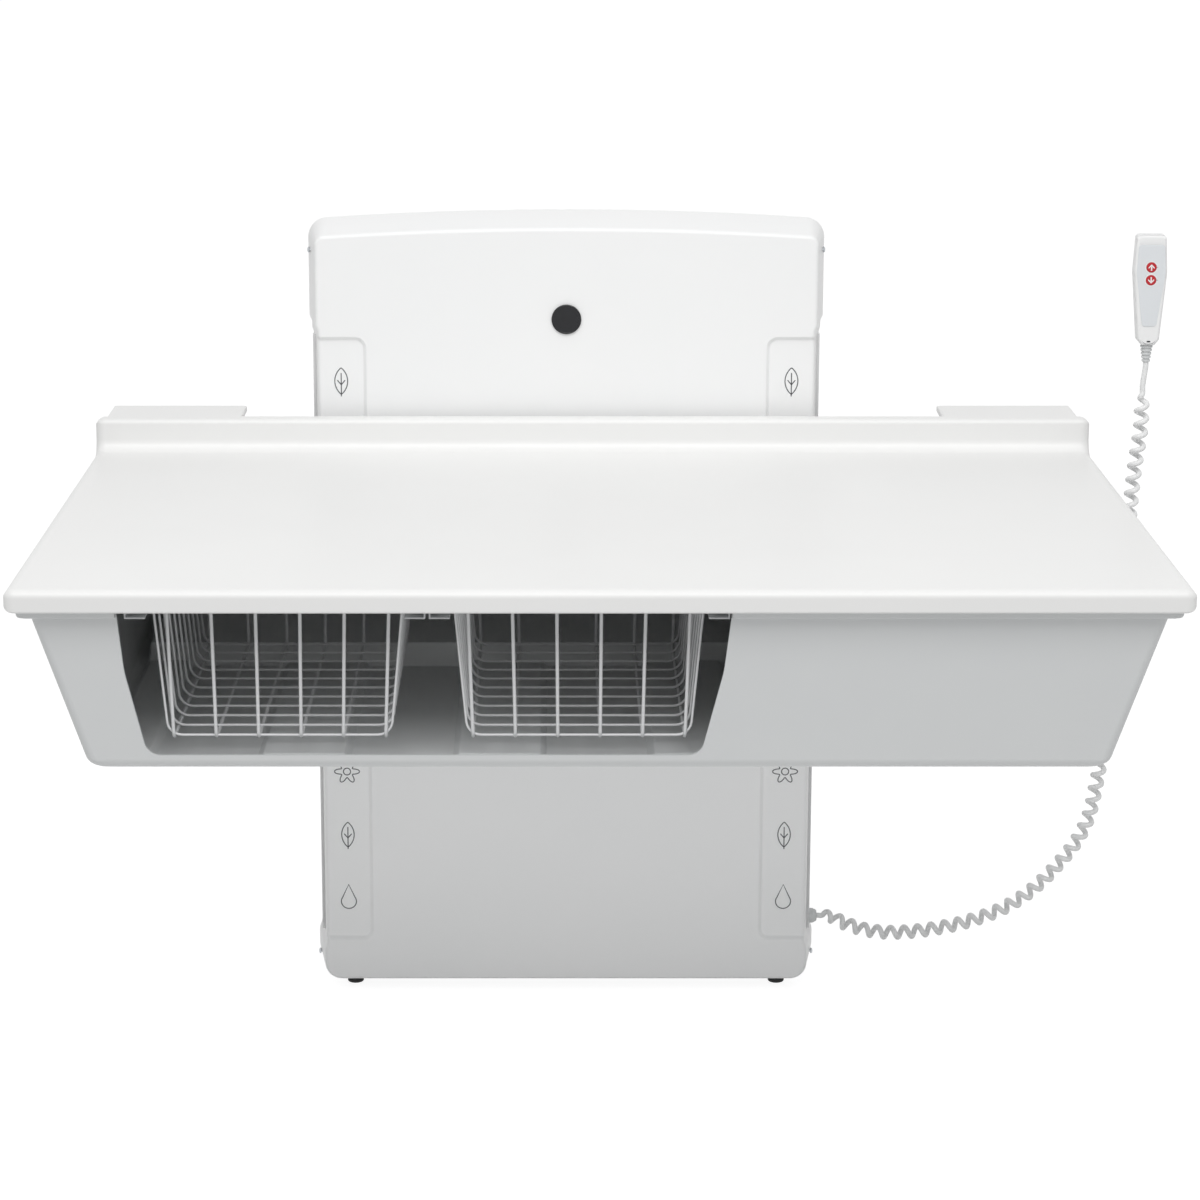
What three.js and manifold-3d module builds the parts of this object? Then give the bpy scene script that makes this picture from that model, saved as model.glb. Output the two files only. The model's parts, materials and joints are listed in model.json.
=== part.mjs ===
// Wall-mounted changing station: an electric lift raises a wide tabletop with a storage tray, two wire
// baskets that pull out of the tray, and a handset on a curly cord. Millimetres, +Z up.
// x runs from the lift's centreline, and "out" is the distance from the wall towards the room (-Y).
// Heights are above the floor in the lift and the cord, above the tabletop's surface in the table, and above
// the handset's lower end in the handset.
import * as THREE from 'three';
import { mergeVertices } from 'three/addons/utils/BufferGeometryUtils.js';
import Module from 'manifold-3d';

const wasm = await Module();
wasm.setup();

// Fits
const seatGap = 0.3; // between two faces that rest on each other
const slideGap = 0.4; // between a piece and what slides on it
const boltGap = 0.4; // around a bolt, stem or bush in its hole
const margin = 5; // how far a cutter runs past what it cuts

// Tabletop
const tableHeight = 821; // height of the surface in the resting position
const boardWidth = 1400;
const boardDepth = 800;
const boardThickness = 28;
const boardShift = 37; // the board's middle stands this far right of the lift
const boardEdgeRounding = 10;
const boardLowerRounding = 3;
const boardCornerRounding = 12;
const boardWallGap = 105; // from the wall to the board's rear edge
const upstandHeight = 45;
const upstandThickness = 25;
const upstandCove = 16;
const upstandRounding = 7;
const upstandBackRounding = 3;
const upstandEndRounding = 14;

// Plates that close the gap between the board and the wall
const gapPlateWidth = 192;
const gapPlateInset = 10;
const gapPlateThickness = 10;
const gapPlateDrop = 5; // below the upstand's top
const gapPlateFlange = 60;
const gapPlateWallGap = 4;
const gapPlateRounding = 1;

// Lift cover, a drafted tub with a recessed track down each side of its front
const coverHalfWidth = 354; // at the front face
const coverDepth = 90;
const coverWall = 3;
const coverDraft = 15; // how much wider each side is at the wall than at the front
const coverBottom = 14;
const coverShoulder = 1119; // height of the front face's upper corners
const coverArch = 12; // rise of the top edge between its corners
const coverUpperRounding = 14;
const coverLowerRounding = 24;
const coverWallGap = 1;
const trackLow = 78;
const capHeight = 145; // from the tracks' upper end to the front face's upper corners
const trackHigh = coverShoulder - capHeight;
const trackWidth = 69;
const trackInner = coverHalfWidth - trackWidth; // from the centreline to the track's inner edge
const trackDepth = 6;
const trackRounding = 14;
const trackSideStep = 3.5; // the cover's sides stand back this much beside the tracks
const slotFront = 62; // the bracket's slot, between the cover and the side cover
const slotBack = 48;
const badgeRadius = 21;
const badgeThickness = 3.5;
const badgeDrop = 117; // below the front face's upper corners
const badgeDome = 0.8;

// Wall frame
const frameHalfWidth = coverHalfWidth - coverWall;
const frameSheet = 3;
const frameLow = 24;
const frameDrop = 19; // below the front face's upper corners
const frameHigh = coverShoulder - frameDrop;
const frameLedgeDepth = 78;
const frameLedgeInset = 6;
const wallHoleRadius = 4.5;
const wallHoleSideInset = 51;
const wallHoleInset = 120; // from the frame's lower and upper ends
const sideCoverReach = 10; // past the frame's side
const sideCoverHalfWidth = frameHalfWidth + sideCoverReach;
const sideCoverWall = 3;
const coverScrewOut = 30;
const coverScrewLowerInset = 12; // from the frame's lower end
const coverScrewUpperInset = 8; // from its upper end
const coverScrewHeights = { lower: frameLow + coverScrewLowerInset, upper: frameHigh - coverScrewUpperInset };
const coverScrewRadius = 2;
const coverScrewHeadRadius = 4.5;
const coverScrewHeadHeight = 3;
const footInset = 39; // from the frame's side
const footX = frameHalfWidth - footInset;
const footOut = 58;
const footRadius = 12;
const footHeight = 11;
const footChamfer = 2;
const footStemRadius = 4;
const footStemEnd = 6; // above the frame's ledge
const footNutRadius = 7;

// Drive
const railInset = 101; // from the frame's side
const railX = frameHalfWidth - railInset;
const railWidth = 20;
const railDepth = 22;
const railLowInset = 6; // above the tracks' lower end
const railHighReach = 11; // past their upper end
const railLow = trackLow + railLowInset;
const railHigh = trackHigh + railHighReach;
const screwRadius = 10;
const screwOut = 30;
const screwLow = railLow;
const screwReach = 30; // past the tracks' upper end
const screwHigh = trackHigh + screwReach;
const journalRadius = 6;
const journalLength = 16;
const bearingWidth = 64;
const bearingHeight = 20;
const bearingDepth = 48;
const gearboxWidth = 96;
const gearboxDepth = 66;
const gearboxHeight = 62;
const motorRadius = 30;
const motorLength = 130;
const controlBoxGap = 30; // between the box and the right guide rail
const controlBoxWidth = 140;
const controlBoxDepth = 36;
const controlBoxLow = 110;
const controlBoxHeight = 170;
const controlBoxRounding = 9;
const grommetX = -150;
const grommetHeight = 160;
const grommetRadius = 10;
const grommetFlangeRadius = 14;
const grommetFlange = 2.5;

// Carriage and brackets
const bracketSheet = 6;
const bracketTop = 40; // below the tabletop's surface
const bracketHeight = 190;
const bracketInnerLeg = 137;
const bracketSideGap = 5; // between the side cover and the bracket
const bracketFrontGap = 5; // between the cover's front and the bracket
const bracketFrontLeg = 82;
const carriageSideGap = 10;
const carriageHalfWidth = frameHalfWidth - frameSheet - carriageSideGap;
const shoeWidth = 44;
const shoeHeight = 50;
const shoeInset = 10;
const shoeBackOut = 9;
const nutWidth = 56;
const nutHeight = 50;
const nutBackOut = 14;
const bracketBoltSideInset = 46; // from the frame's side
const bracketBoltX = frameHalfWidth - bracketBoltSideInset;
const bracketBoltInset = 35;
const bracketBoltRadius = 4;
const bracketBoltHeadRadius = 8;
const bracketBoltHeadHeight = 5;
const bracketBoltTail = 4;

// Beam and arms under the board
const beamDepth = 40;
const beamHeight = 60;
const beamWall = 3;
const beamInset = 24;
const armWidth = 30;
const armHeight = 40;
const armWall = 2.5;
const armFrontInset = 45;
const armEndInset = 74; // from the board's end to the middle of an end arm
const middleArmX = 230;

// Storage tray
const trayWall = 4;
const trayFlangeInset = 12;
const trayFlange = 9.7;
const trayInset = 26; // from the board's edges to the tray's body
const trayDepthBelow = 238; // the tray's underside below the tabletop's surface
const traySideTaper = 60;
const trayFrontTaper = 34;
const trayRearTaper = 20;
const trayBackGap = 10; // between the beam and the tray's rear wall
const trayRearDrop = 92; // the rear wall's upper edge below the tabletop's surface
const trayRounding = 14;
const openingRim = 19; // from the tray's underside to the opening's lower edge
const openingTop = { left: -535, right: 195 };
const openingBottom = { left: -505, right: 159 };
const openingRounding = 20;
const ribWidth = 96;
const ribPitch = 237;
const ribHeight = 8;
const ribSlope = 10;
const ribFirstX = -320;
const ribCount = 5;
const stepHeight = 32;
const stepFrontOut = 405;

// Baskets and their rails
const basketLeftX = -347;
const basketGap = 29; // between the two baskets' rims
const basketFrontInset = 70; // from the board's front edge
const basketRimHalfWidth = 165.5;
const basketTopHalfWidth = 149;
const basketBottomHalfWidth = 134;
const basketBottom = 198; // the cross wires below the tabletop's surface
const crossWireCount = 11;
const crossWirePitch = 40;
const crossWireDiameter = 3.2;
const longWireCount = 6;
const longWirePitch = 51;
const longWireSplay = 2.2; // how much wider the long wires' pitch is at the rim
const longWireDiameter = 4.4;
const rimWireDiameter = 5.6; // along the basket's sides
const endWireDiameter = 5; // across its front and rear
const rimWireEnd = 1.9; // how far the side wires run past the front and rear ones
const wireWeld = 1; // how far crossing wires melt into each other
const wireSides = 4;
const crossWireBend = 20;
const rimBend = 8;
const longWireBend = 10;
const bendSteps = 2;
const basketRailWidth = 25;
const basketRailHeight = 14;
const basketRailSheet = 2;
const basketRailFrontInset = 30;
const basketRailBehind = 30; // how far the rail runs on behind the basket

// Handset
const handsetX = 831;
const handsetLow = 955;
const handsetBackOut = 15;
const handsetDepth = 26;
const handsetSplit = 12; // depth of the back shell
const handsetLength = 159;
const handsetWall = 2.5;
const handsetFootHalfWidth = 15.5;
const handsetWidestHalfWidth = 23.5;
const handsetWidestHeight = 105;
const handsetTopHalfWidth = 20.5;
const handsetRounding = 7;
const handsetShoulder = 26; // rounding of the sides where the handset is widest
const handsetChin = 7; // height of the sloped corners beside the cord
const keypadLow = 28;
const keypadHigh = 145;
const keypadFootHalfWidth = 10;
const keypadHalfWidth = 20.6;
const keypadTopHalfWidth = 18.4;
const keypadThickness = 0.8;
const keypadRounding = 4;
const keypadShoulder = 20;
const buttonRadius = 7.3;
const buttonHeights = { raise: 113, lower: 94.6 };
const buttonProud = 0.9;
const buttonFlangeRadius = 8.3;
const buttonFlange = 1.6;
const buttonTravel = 1;
const circuitWidth = 26;
const circuitLow = 30;
const circuitHigh = 130;
const circuitThickness = 1.6;
const circuitPostRadius = 3;
const circuitPostInset = 12;
const lensWidth = 5;
const lensHeight = 2;
const lensDepth = 1.5;
const lensLow = 5;
const reliefLength = 26;
const reliefTopRadius = 9;
const reliefTipRadius = 5.2;
const reliefRings = 4;
const reliefGroove = 1.3;

// Handset's holder on the wall, an open pocket for the tongue on the handset's back
const holderWidth = 30;
const holderLow = 92; // above the handset's lower end
const holderHigh = 150;
const holderPlate = 3;
const holderPocketDepth = 18;
const holderLip = 2.5;
const holderRounding = 1;
const tongueWidth = 20;
const tongueThickness = 4;
const tongueRoot = 6;
const holderScrewRadius = 2;
const holderScrewHeadRadius = 4;
const holderCountersink = 1.8;
const holderScrewInset = 8;

// Cord
const coilDiameter = 23; // over the turns of the curly stretch
const leadDiameter = 8;
const cordOut = 26;
const glandHeight = 90;
const glandHeadRadius = 11;
const glandHeadLength = 6;
const glandNoseLength = 6;
const glandBushRadius = 7;
const coilSides = 10;
const coilSteps = 30;
const leadSides = 8;
const leadSteps = 6;
const coilTop = 888;
// The curly stretch's route from the gland to the straight lead, as x and height
const coilRoute = [
  [374, 90], [392, 90], [414, 78], [448, 67], [485, 63], [529, 66], [570, 73], [607, 83],
  [645, 98], [678, 118], [706, 142], [733, 173], [755, 203], [770, 234], [778, 263], [782, 288],
  [786, 315], [795, 401], [805, 521], [813, 641], [820, 761], [827, 825], [828, 862], [828, coilTop],
];

// Roundness of the turned pieces and of the outlines' corners
const turnedSides = 20;
const smallTurnedSides = 12;
const cornerSteps = 4;
const fineCornerSteps = 8;

// Finishes
function finish(color, roughness, metalness = 0) {
  return new THREE.MeshStandardMaterial({ color, roughness, metalness });
}

const whiteLaminate = finish('#f0f0ef', 0.4);
const whiteMoulding = finish('#ebecec', 0.45);
const greyMoulding = finish('#d5d7d8', 0.5);
const whiteSteel = finish('#e4e5e5', 0.45);
const zincSteel = finish('#aeb2b5', 0.4, 0.9);
const darkPlastic = finish('#2a2b2d', 0.5);
const wireCoating = finish('#e6e7e8', 0.35);
const panelGrey = finish('#c9cbcd', 0.5);
const buttonRed = finish('#c8232b', 0.45);
const boardGreen = finish('#2f6b46', 0.6);

// Outlines and solids

// Draws corners [across, up, rounding] on a path; a rounding of 0 leaves a corner sharp.
function trace(path, corners, closed) {
  const points = corners.map(([across, up]) => new THREE.Vector2(across, up));
  const towards = (from, to, reach) => to.clone().sub(from).setLength(reach).add(from);
  corners.forEach(([across, up, rounding = 0], index) => {
    const end = !closed && (index === 0 || index === corners.length - 1);
    const reach = end ? 0 : rounding;
    const before = towards(points[index], points.at(index - 1), reach);
    const after = towards(points[index], points[(index + 1) % points.length], reach);
    if (index === 0) {
      path.moveTo(before.x, before.y);
    } else {
      path.lineTo(before.x, before.y);
    }
    if (reach > 0) {
      path.quadraticCurveTo(across, up, after.x, after.y);
    }
  });
  if (closed) {
    path.closePath();
  }
  return path;
}

const outline = (corners) => trace(new THREE.Shape(), corners, true);

const rectangle = (left, right, low, high, rounding = 0) => outline([
  [left, low, rounding],
  [right, low, rounding],
  [right, high, rounding],
  [left, high, rounding],
]);

function extruded(shape, depth, steps) {
  return new THREE.ExtrudeGeometry(shape, { depth, bevelEnabled: false, curveSegments: steps });
}

// From an outline in x and height, between two distances from the wall
function fromFront(shape, outLow, outHigh, steps = cornerSteps) {
  return extruded(shape, outHigh - outLow, steps).translate(0, 0, outLow).rotateX(Math.PI / 2);
}

// From an outline in x and out, between two heights
function fromAbove(shape, low, high, steps = cornerSteps) {
  return extruded(shape, high - low, steps).translate(0, 0, -high).rotateX(Math.PI);
}

// From an outline in out and height, between two x values
const sideAxes = new THREE.Matrix4().makeBasis(
  new THREE.Vector3(0, -1, 0),
  new THREE.Vector3(0, 0, 1),
  new THREE.Vector3(-1, 0, 0),
);

function fromSide(shape, xLow, xHigh, steps = cornerSteps) {
  return extruded(shape, xHigh - xLow, steps).translate(0, 0, -xHigh).applyMatrix4(sideAxes);
}

function block(xLow, xHigh, outLow, outHigh, low, high) {
  const box = new THREE.BoxGeometry(xHigh - xLow, outHigh - outLow, high - low);
  return box.translate((xLow + xHigh) / 2, -(outLow + outHigh) / 2, (low + high) / 2);
}

// A turned piece from [radius, along] points, from one end of its axis to the other, standing up along z
function turned(profile, sideCount = turnedSides) {
  const points = profile.map(([radius, along]) => new THREE.Vector2(radius, along));
  return new THREE.LatheGeometry(points, sideCount).rotateX(Math.PI / 2);
}

function rod(radius, low, high, sideCount) {
  return turned([[0, low], [radius, low], [radius, high], [0, high]], sideCount);
}

// Turns a standing piece so that its axis runs out from the wall, or along x
const facingOut = (geometry) => geometry.rotateX(Math.PI / 2);
const facingRight = (geometry) => geometry.rotateY(Math.PI / 2);
const facingLeft = (geometry) => geometry.rotateY(-Math.PI / 2);

// A closed solid, ready to be joined and cut
function solid(geometry) {
  geometry.deleteAttribute('normal');
  geometry.deleteAttribute('uv');
  const welded = mergeVertices(geometry);
  const corners = welded.index.array;
  const kept = [];
  for (let first = 0; first < corners.length; first += 3) {
    const [a, b, c] = corners.subarray(first, first + 3);
    if (a !== b && b !== c && c !== a) {
      kept.push(a, b, c);
    }
  }
  return new wasm.Manifold(new wasm.Mesh({
    numProp: 3,
    vertProperties: Float32Array.from(welded.attributes.position.array),
    triVerts: Uint32Array.from(kept),
  }));
}

const joined = (geometries) => geometries.map(solid).reduce((whole, next) => whole.add(next));
const cut = (whole, geometries) => geometries.map(solid).reduce((rest, next) => rest.subtract(next), whole);

function geometryOf(manifold) {
  const mesh = manifold.getMesh();
  const geometry = new THREE.BufferGeometry();
  geometry.setAttribute('position', new THREE.BufferAttribute(mesh.vertProperties, mesh.numProp));
  geometry.setIndex(new THREE.BufferAttribute(mesh.triVerts, 1));
  geometry.computeVertexNormals();
  return geometry;
}

function place(group, name, shape, material, x = 0, out = 0, height = 0) {
  const geometry = shape.isBufferGeometry ? shape : geometryOf(shape);
  const mesh = new THREE.Mesh(geometry, material);
  mesh.name = name;
  mesh.position.set(x, -out, height);
  group.add(mesh);
}

const sides = { left: -1, right: 1 };

// Orders the two ends of a span that is mirrored to one side
const mirrored = (side, near, far) => (side > 0 ? [near, far] : [-far, -near]);

const station = new THREE.Group();
station.position.z = -(frameLow + frameHigh) / 2; // the origin lies on the wall frame's back, at its middle
const lift = new THREE.Group();
const table = new THREE.Group();
table.position.z = tableHeight;
const handset = new THREE.Group();
handset.position.set(handsetX, 0, handsetLow);
station.add(lift, table, handset);

// Lift: wall frame and covers

function wallFrame() {
  const ledgeHalf = frameHalfWidth - frameLedgeInset;
  const parts = [
    block(-frameHalfWidth, frameHalfWidth, 0, frameSheet, frameLow, frameHigh),
    block(-ledgeHalf, ledgeHalf, 0, frameLedgeDepth, frameLow, frameLow + frameSheet),
  ];
  const holes = [];
  for (const side of Object.values(sides)) {
    const flange = mirrored(side, frameHalfWidth - frameSheet, frameHalfWidth);
    parts.push(block(...flange, 0, slotBack, frameLow, frameHigh));
    for (const height of Object.values(coverScrewHeights)) {
      const hole = rod(coverScrewRadius + boltGap, flange[0] - margin, flange[1] + margin, smallTurnedSides);
      holes.push(facingRight(hole).translate(0, -coverScrewOut, height));
    }
    for (const height of [frameLow + wallHoleInset, frameHigh - wallHoleInset]) {
      const hole = facingOut(rod(wallHoleRadius, -margin, frameSheet + margin, smallTurnedSides));
      holes.push(hole.translate(side * (frameHalfWidth - wallHoleSideInset), 0, height));
    }
    const ledgeTop = frameLow + frameSheet;
    const stemHole = rod(footStemRadius + boltGap, frameLow - margin, ledgeTop + margin, smallTurnedSides);
    holes.push(stemHole.translate(side * footX, -footOut, 0));
  }
  const grommetHole = facingOut(rod(grommetRadius + boltGap, -margin, frameSheet + margin, smallTurnedSides));
  holes.push(grommetHole.translate(grommetX, 0, grommetHeight));
  const glandHole = facingRight(rod(glandBushRadius + boltGap, frameHalfWidth - margin - frameSheet,
    frameHalfWidth + margin, smallTurnedSides));
  holes.push(glandHole.translate(0, -cordOut, glandHeight));
  return cut(joined(parts), holes);
}

// The cover's full body, made smaller all round by the given inset
function coverBlank(inset, sideInset, bottom) {
  const half = coverHalfWidth - inset - sideInset;
  const shoulder = coverShoulder - inset;
  const archReach = Math.hypot(half, 2 * coverArch) - coverUpperRounding;
  const front = outline([
    [-half, bottom, coverLowerRounding],
    [half, bottom, coverLowerRounding],
    [half, shoulder, coverUpperRounding],
    [0, shoulder + 2 * coverArch, archReach],
    [-half, shoulder, coverUpperRounding],
  ]);
  const depth = coverDepth - inset;
  const drafted = new THREE.ExtrudeGeometry(front, {
    depth: margin,
    bevelThickness: depth,
    bevelSize: coverDraft * depth / coverDepth,
    bevelSegments: 1,
    curveSegments: fineCornerSteps,
  });
  return solid(drafted.translate(0, 0, -margin).rotateX(Math.PI / 2));
}

// The body with its sides set back beside the tracks, and with the two tracks cut into its front
function coverBody(inset, bottom, backOut) {
  const reach = coverHalfWidth + coverDraft + margin;
  const [low, high] = [trackLow - inset, trackHigh + inset];
  const waist = solid(block(-reach, reach, -margin, coverDepth + margin, low, high));
  const slim = coverBlank(inset, trackSideStep, bottom).intersect(waist);
  const caps = coverBlank(inset, 0, bottom).subtract(waist);
  const tracks = Object.values(sides).map((side) => {
    const [left, right] = mirrored(side, trackInner - inset, reach);
    const track = outline([
      [left, low, side > 0 ? trackRounding : 0],
      [right, low, side < 0 ? trackRounding : 0],
      [right, high, side < 0 ? trackRounding : 0],
      [left, high, side > 0 ? trackRounding : 0],
    ]);
    return fromFront(track, coverDepth - trackDepth - inset, coverDepth + margin);
  });
  const top = coverShoulder + coverDepth;
  const behind = block(-reach, reach, -coverDepth - 2 * margin, backOut, -coverDepth, top);
  return cut(slim.add(caps), [...tracks, behind]);
}

function frontCover() {
  const outside = coverBody(0, coverBottom, coverWallGap);
  const inside = coverBody(coverWall, -coverDepth, 0);
  const reach = coverHalfWidth + coverDraft + margin;
  const cutters = [block(-reach, reach, 0, coverDepth, 0, coverBottom)];
  for (const side of Object.values(sides)) {
    cutters.push(block(...mirrored(side, trackInner, reach), 0, slotFront, trackLow, trackHigh));
    for (const height of Object.values(coverScrewHeights)) {
      const [near, far] = mirrored(side, frameHalfWidth, reach);
      const hole = facingRight(rod(coverScrewRadius + boltGap, near, far, smallTurnedSides));
      cutters.push(hole.translate(0, -coverScrewOut, height));
    }
  }
  return cut(outside.subtract(inside), cutters);
}

function sideCover(side) {
  const [near, far] = [frameHalfWidth + seatGap, sideCoverHalfWidth];
  const profile = outline([
    [near, seatGap],
    [far, seatGap],
    [far, slotBack],
    [near, slotBack],
    [near, slotBack - sideCoverWall],
    [far - sideCoverWall, slotBack - sideCoverWall],
    [far - sideCoverWall, seatGap + sideCoverWall],
    [near, seatGap + sideCoverWall],
  ]);
  const bar = fromAbove(profile, trackLow + seatGap, trackHigh - seatGap);
  if (side < 0) {
    return bar.rotateZ(Math.PI).translate(0, -slotBack - seatGap, 0);
  }
  const hole = facingRight(rod(glandBushRadius + boltGap, near, far + margin, smallTurnedSides));
  return cut(solid(bar), [hole.translate(0, -cordOut, glandHeight)]);
}

function coverScrew() {
  const tail = coverHalfWidth - frameHalfWidth + coverDraft + frameSheet;
  return turned([
    [0, -tail],
    [coverScrewRadius, -tail],
    [coverScrewRadius, 0],
    [coverScrewHeadRadius, 0],
    [coverScrewHeadRadius, coverScrewHeadHeight / 2],
    [coverScrewHeadRadius / 2, coverScrewHeadHeight],
    [0, coverScrewHeadHeight],
  ], smallTurnedSides);
}

function foot() {
  return turned([
    [0, 0],
    [footRadius, 0],
    [footRadius, footHeight - footChamfer],
    [footNutRadius, footHeight],
    [footNutRadius, frameLow - seatGap],
    [footStemRadius, frameLow - seatGap],
    [footStemRadius, frameLow + frameSheet + footStemEnd],
    [0, frameLow + frameSheet + footStemEnd],
  ]);
}

place(lift, 'wall_frame', wallFrame(), whiteSteel);
place(lift, 'front_cover', frontCover(), whiteMoulding);
const badge = facingOut(turned([
  [0, 0],
  [badgeRadius, 0],
  [badgeRadius, badgeThickness - badgeDome],
  [badgeRadius - badgeDome, badgeThickness],
  [0, badgeThickness],
]));
place(lift, 'badge_cap', badge, darkPlastic, 0, coverDepth + seatGap, coverShoulder - badgeDrop);
for (const [sideName, side] of Object.entries(sides)) {
  place(lift, `side_cover_${sideName}`, sideCover(side), whiteMoulding);
  place(lift, `foot_${sideName}`, foot(), darkPlastic, side * footX, footOut);
  const headBackOut = coverScrewOut - coverScrewHeadRadius;
  const seat = side * (coverHalfWidth + coverDraft * (1 - headBackOut / coverDepth) + seatGap);
  for (const [levelName, height] of Object.entries(coverScrewHeights)) {
    const screw = side > 0 ? facingRight(coverScrew()) : facingLeft(coverScrew());
    place(lift, `cover_screw_${levelName}_${sideName}`, screw, zincSteel, seat, coverScrewOut, height);
  }
}

// Lift: drive

function guideRail() {
  const half = railWidth / 2;
  const back = frameSheet + seatGap;
  return block(-half, half, back, back + railDepth, railLow, railHigh);
}

function leadScrew() {
  return turned([
    [0, screwLow - journalLength],
    [journalRadius, screwLow - journalLength],
    [journalRadius, screwLow],
    [screwRadius, screwLow],
    [screwRadius, screwHigh],
    [journalRadius, screwHigh],
    [journalRadius, screwHigh + journalLength],
    [0, screwHigh + journalLength],
  ], smallTurnedSides);
}

// A hole for a journal, between two heights
function journalBore(low, high) {
  return rod(journalRadius + seatGap, low, high, smallTurnedSides).translate(0, -screwOut, 0);
}

function lowerBearing() {
  const top = screwLow - seatGap;
  const back = frameSheet + seatGap;
  const half = bearingWidth / 2;
  const body = block(-half, half, back, back + bearingDepth, top - bearingHeight, top);
  return cut(solid(body), [journalBore(screwLow - journalLength - seatGap, top + margin)]);
}

function gearMotor() {
  const low = screwHigh + seatGap;
  const back = frameSheet + seatGap;
  const half = gearboxWidth / 2;
  const gearbox = block(-half, half, back, back + gearboxDepth, low, low + gearboxHeight);
  const motor = facingRight(rod(motorRadius, 0, half + motorLength));
  motor.translate(0, -back - gearboxDepth / 2, low + gearboxHeight / 2);
  return cut(joined([gearbox, motor]), [journalBore(low - margin, screwHigh + journalLength + seatGap)]);
}

function controlBox() {
  const shape = rectangle(0, controlBoxWidth, 0, controlBoxHeight, controlBoxRounding);
  return fromFront(shape, frameSheet + seatGap, frameSheet + seatGap + controlBoxDepth);
}

for (const [sideName, side] of Object.entries(sides)) {
  place(lift, `guide_rail_${sideName}`, guideRail(), zincSteel, side * railX);
}
place(lift, 'lead_screw', leadScrew(), zincSteel, 0, screwOut);
place(lift, 'lower_bearing_block', lowerBearing(), zincSteel);
place(lift, 'gear_motor', gearMotor(), darkPlastic);
const controlBoxLeft = railX - railWidth / 2 - controlBoxGap - controlBoxWidth;
place(lift, 'control_box', controlBox(), darkPlastic, controlBoxLeft, 0, controlBoxLow);
const grommet = facingOut(turned([
  [0, 0],
  [grommetRadius, 0],
  [grommetRadius, frameSheet + seatGap],
  [grommetFlangeRadius, frameSheet + seatGap],
  [grommetFlangeRadius, frameSheet + seatGap + grommetFlange],
  [0, frameSheet + seatGap + grommetFlange],
]));
place(lift, 'mains_grommet', grommet, darkPlastic, grommetX, 0, grommetHeight);

// Table: carriage and brackets

const bracketBackOut = (slotFront + slotBack - bracketSheet) / 2;
const bracketFrontOut = coverDepth + bracketFrontGap;
const bracketLow = -bracketTop - bracketHeight;
const carriageFrontOut = bracketBackOut - seatGap;
const carriageBackOut = carriageFrontOut - bracketSheet;
const bracketBoltHeights = { lower: bracketLow + bracketBoltInset, upper: -bracketTop - bracketBoltInset };

function boltHoles(outLow, outHigh) {
  return Object.values(bracketBoltHeights).map((height) => {
    const hole = rod(bracketBoltRadius + boltGap, outLow - margin, outHigh + margin, smallTurnedSides);
    return facingOut(hole).translate(bracketBoltX, 0, height);
  });
}

// Wraps round the cover's side edge: through the slot, forward beside the cover, and in over the track
function bracket() {
  const sideNear = sideCoverHalfWidth + bracketSideGap;
  const sideFar = sideNear + bracketSheet;
  const profile = outline([
    [sideFar - bracketInnerLeg, bracketBackOut],
    [sideFar, bracketBackOut],
    [sideFar, bracketFrontOut + bracketSheet],
    [sideFar - bracketFrontLeg, bracketFrontOut + bracketSheet],
    [sideFar - bracketFrontLeg, bracketFrontOut],
    [sideNear, bracketFrontOut],
    [sideNear, bracketBackOut + bracketSheet],
    [sideFar - bracketInnerLeg, bracketBackOut + bracketSheet],
  ]);
  const bent = solid(fromAbove(profile, bracketLow, -bracketTop));
  return cut(bent, boltHoles(bracketBackOut, bracketBackOut + bracketSheet));
}

function carriagePlate() {
  const half = carriageHalfWidth;
  const plate = solid(block(-half, half, carriageBackOut, carriageFrontOut, bracketLow, -bracketTop));
  const rightHoles = boltHoles(carriageBackOut, carriageFrontOut);
  const leftHoles = boltHoles(carriageBackOut, carriageFrontOut);
  return cut(plate, [...rightHoles, ...leftHoles.map((hole) => hole.translate(-2 * bracketBoltX, 0, 0))]);
}

function bracketBolt() {
  return facingOut(turned([
    [0, carriageBackOut - bracketBoltTail],
    [bracketBoltRadius, carriageBackOut - bracketBoltTail],
    [bracketBoltRadius, bracketBackOut + bracketSheet + seatGap],
    [bracketBoltHeadRadius, bracketBackOut + bracketSheet + seatGap],
    [bracketBoltHeadRadius, bracketBackOut + bracketSheet + seatGap + bracketBoltHeadHeight],
    [0, bracketBackOut + bracketSheet + seatGap + bracketBoltHeadHeight],
  ], smallTurnedSides));
}

function glideShoe() {
  const half = shoeWidth / 2;
  const channel = railWidth / 2 + slideGap;
  const railFront = frameSheet + seatGap + railDepth + slideGap;
  return fromAbove(outline([
    [-half, shoeBackOut],
    [-channel, shoeBackOut],
    [-channel, railFront],
    [channel, railFront],
    [channel, shoeBackOut],
    [half, shoeBackOut],
    [half, carriageBackOut - seatGap],
    [-half, carriageBackOut - seatGap],
  ]), 0, shoeHeight);
}

function liftNut() {
  const half = nutWidth / 2;
  const body = block(-half, half, nutBackOut, carriageBackOut - seatGap, -nutHeight / 2, nutHeight / 2);
  const bore = rod(screwRadius + slideGap, -nutHeight, nutHeight, smallTurnedSides);
  return cut(solid(body), [bore.translate(0, -screwOut, 0)]);
}

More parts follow.
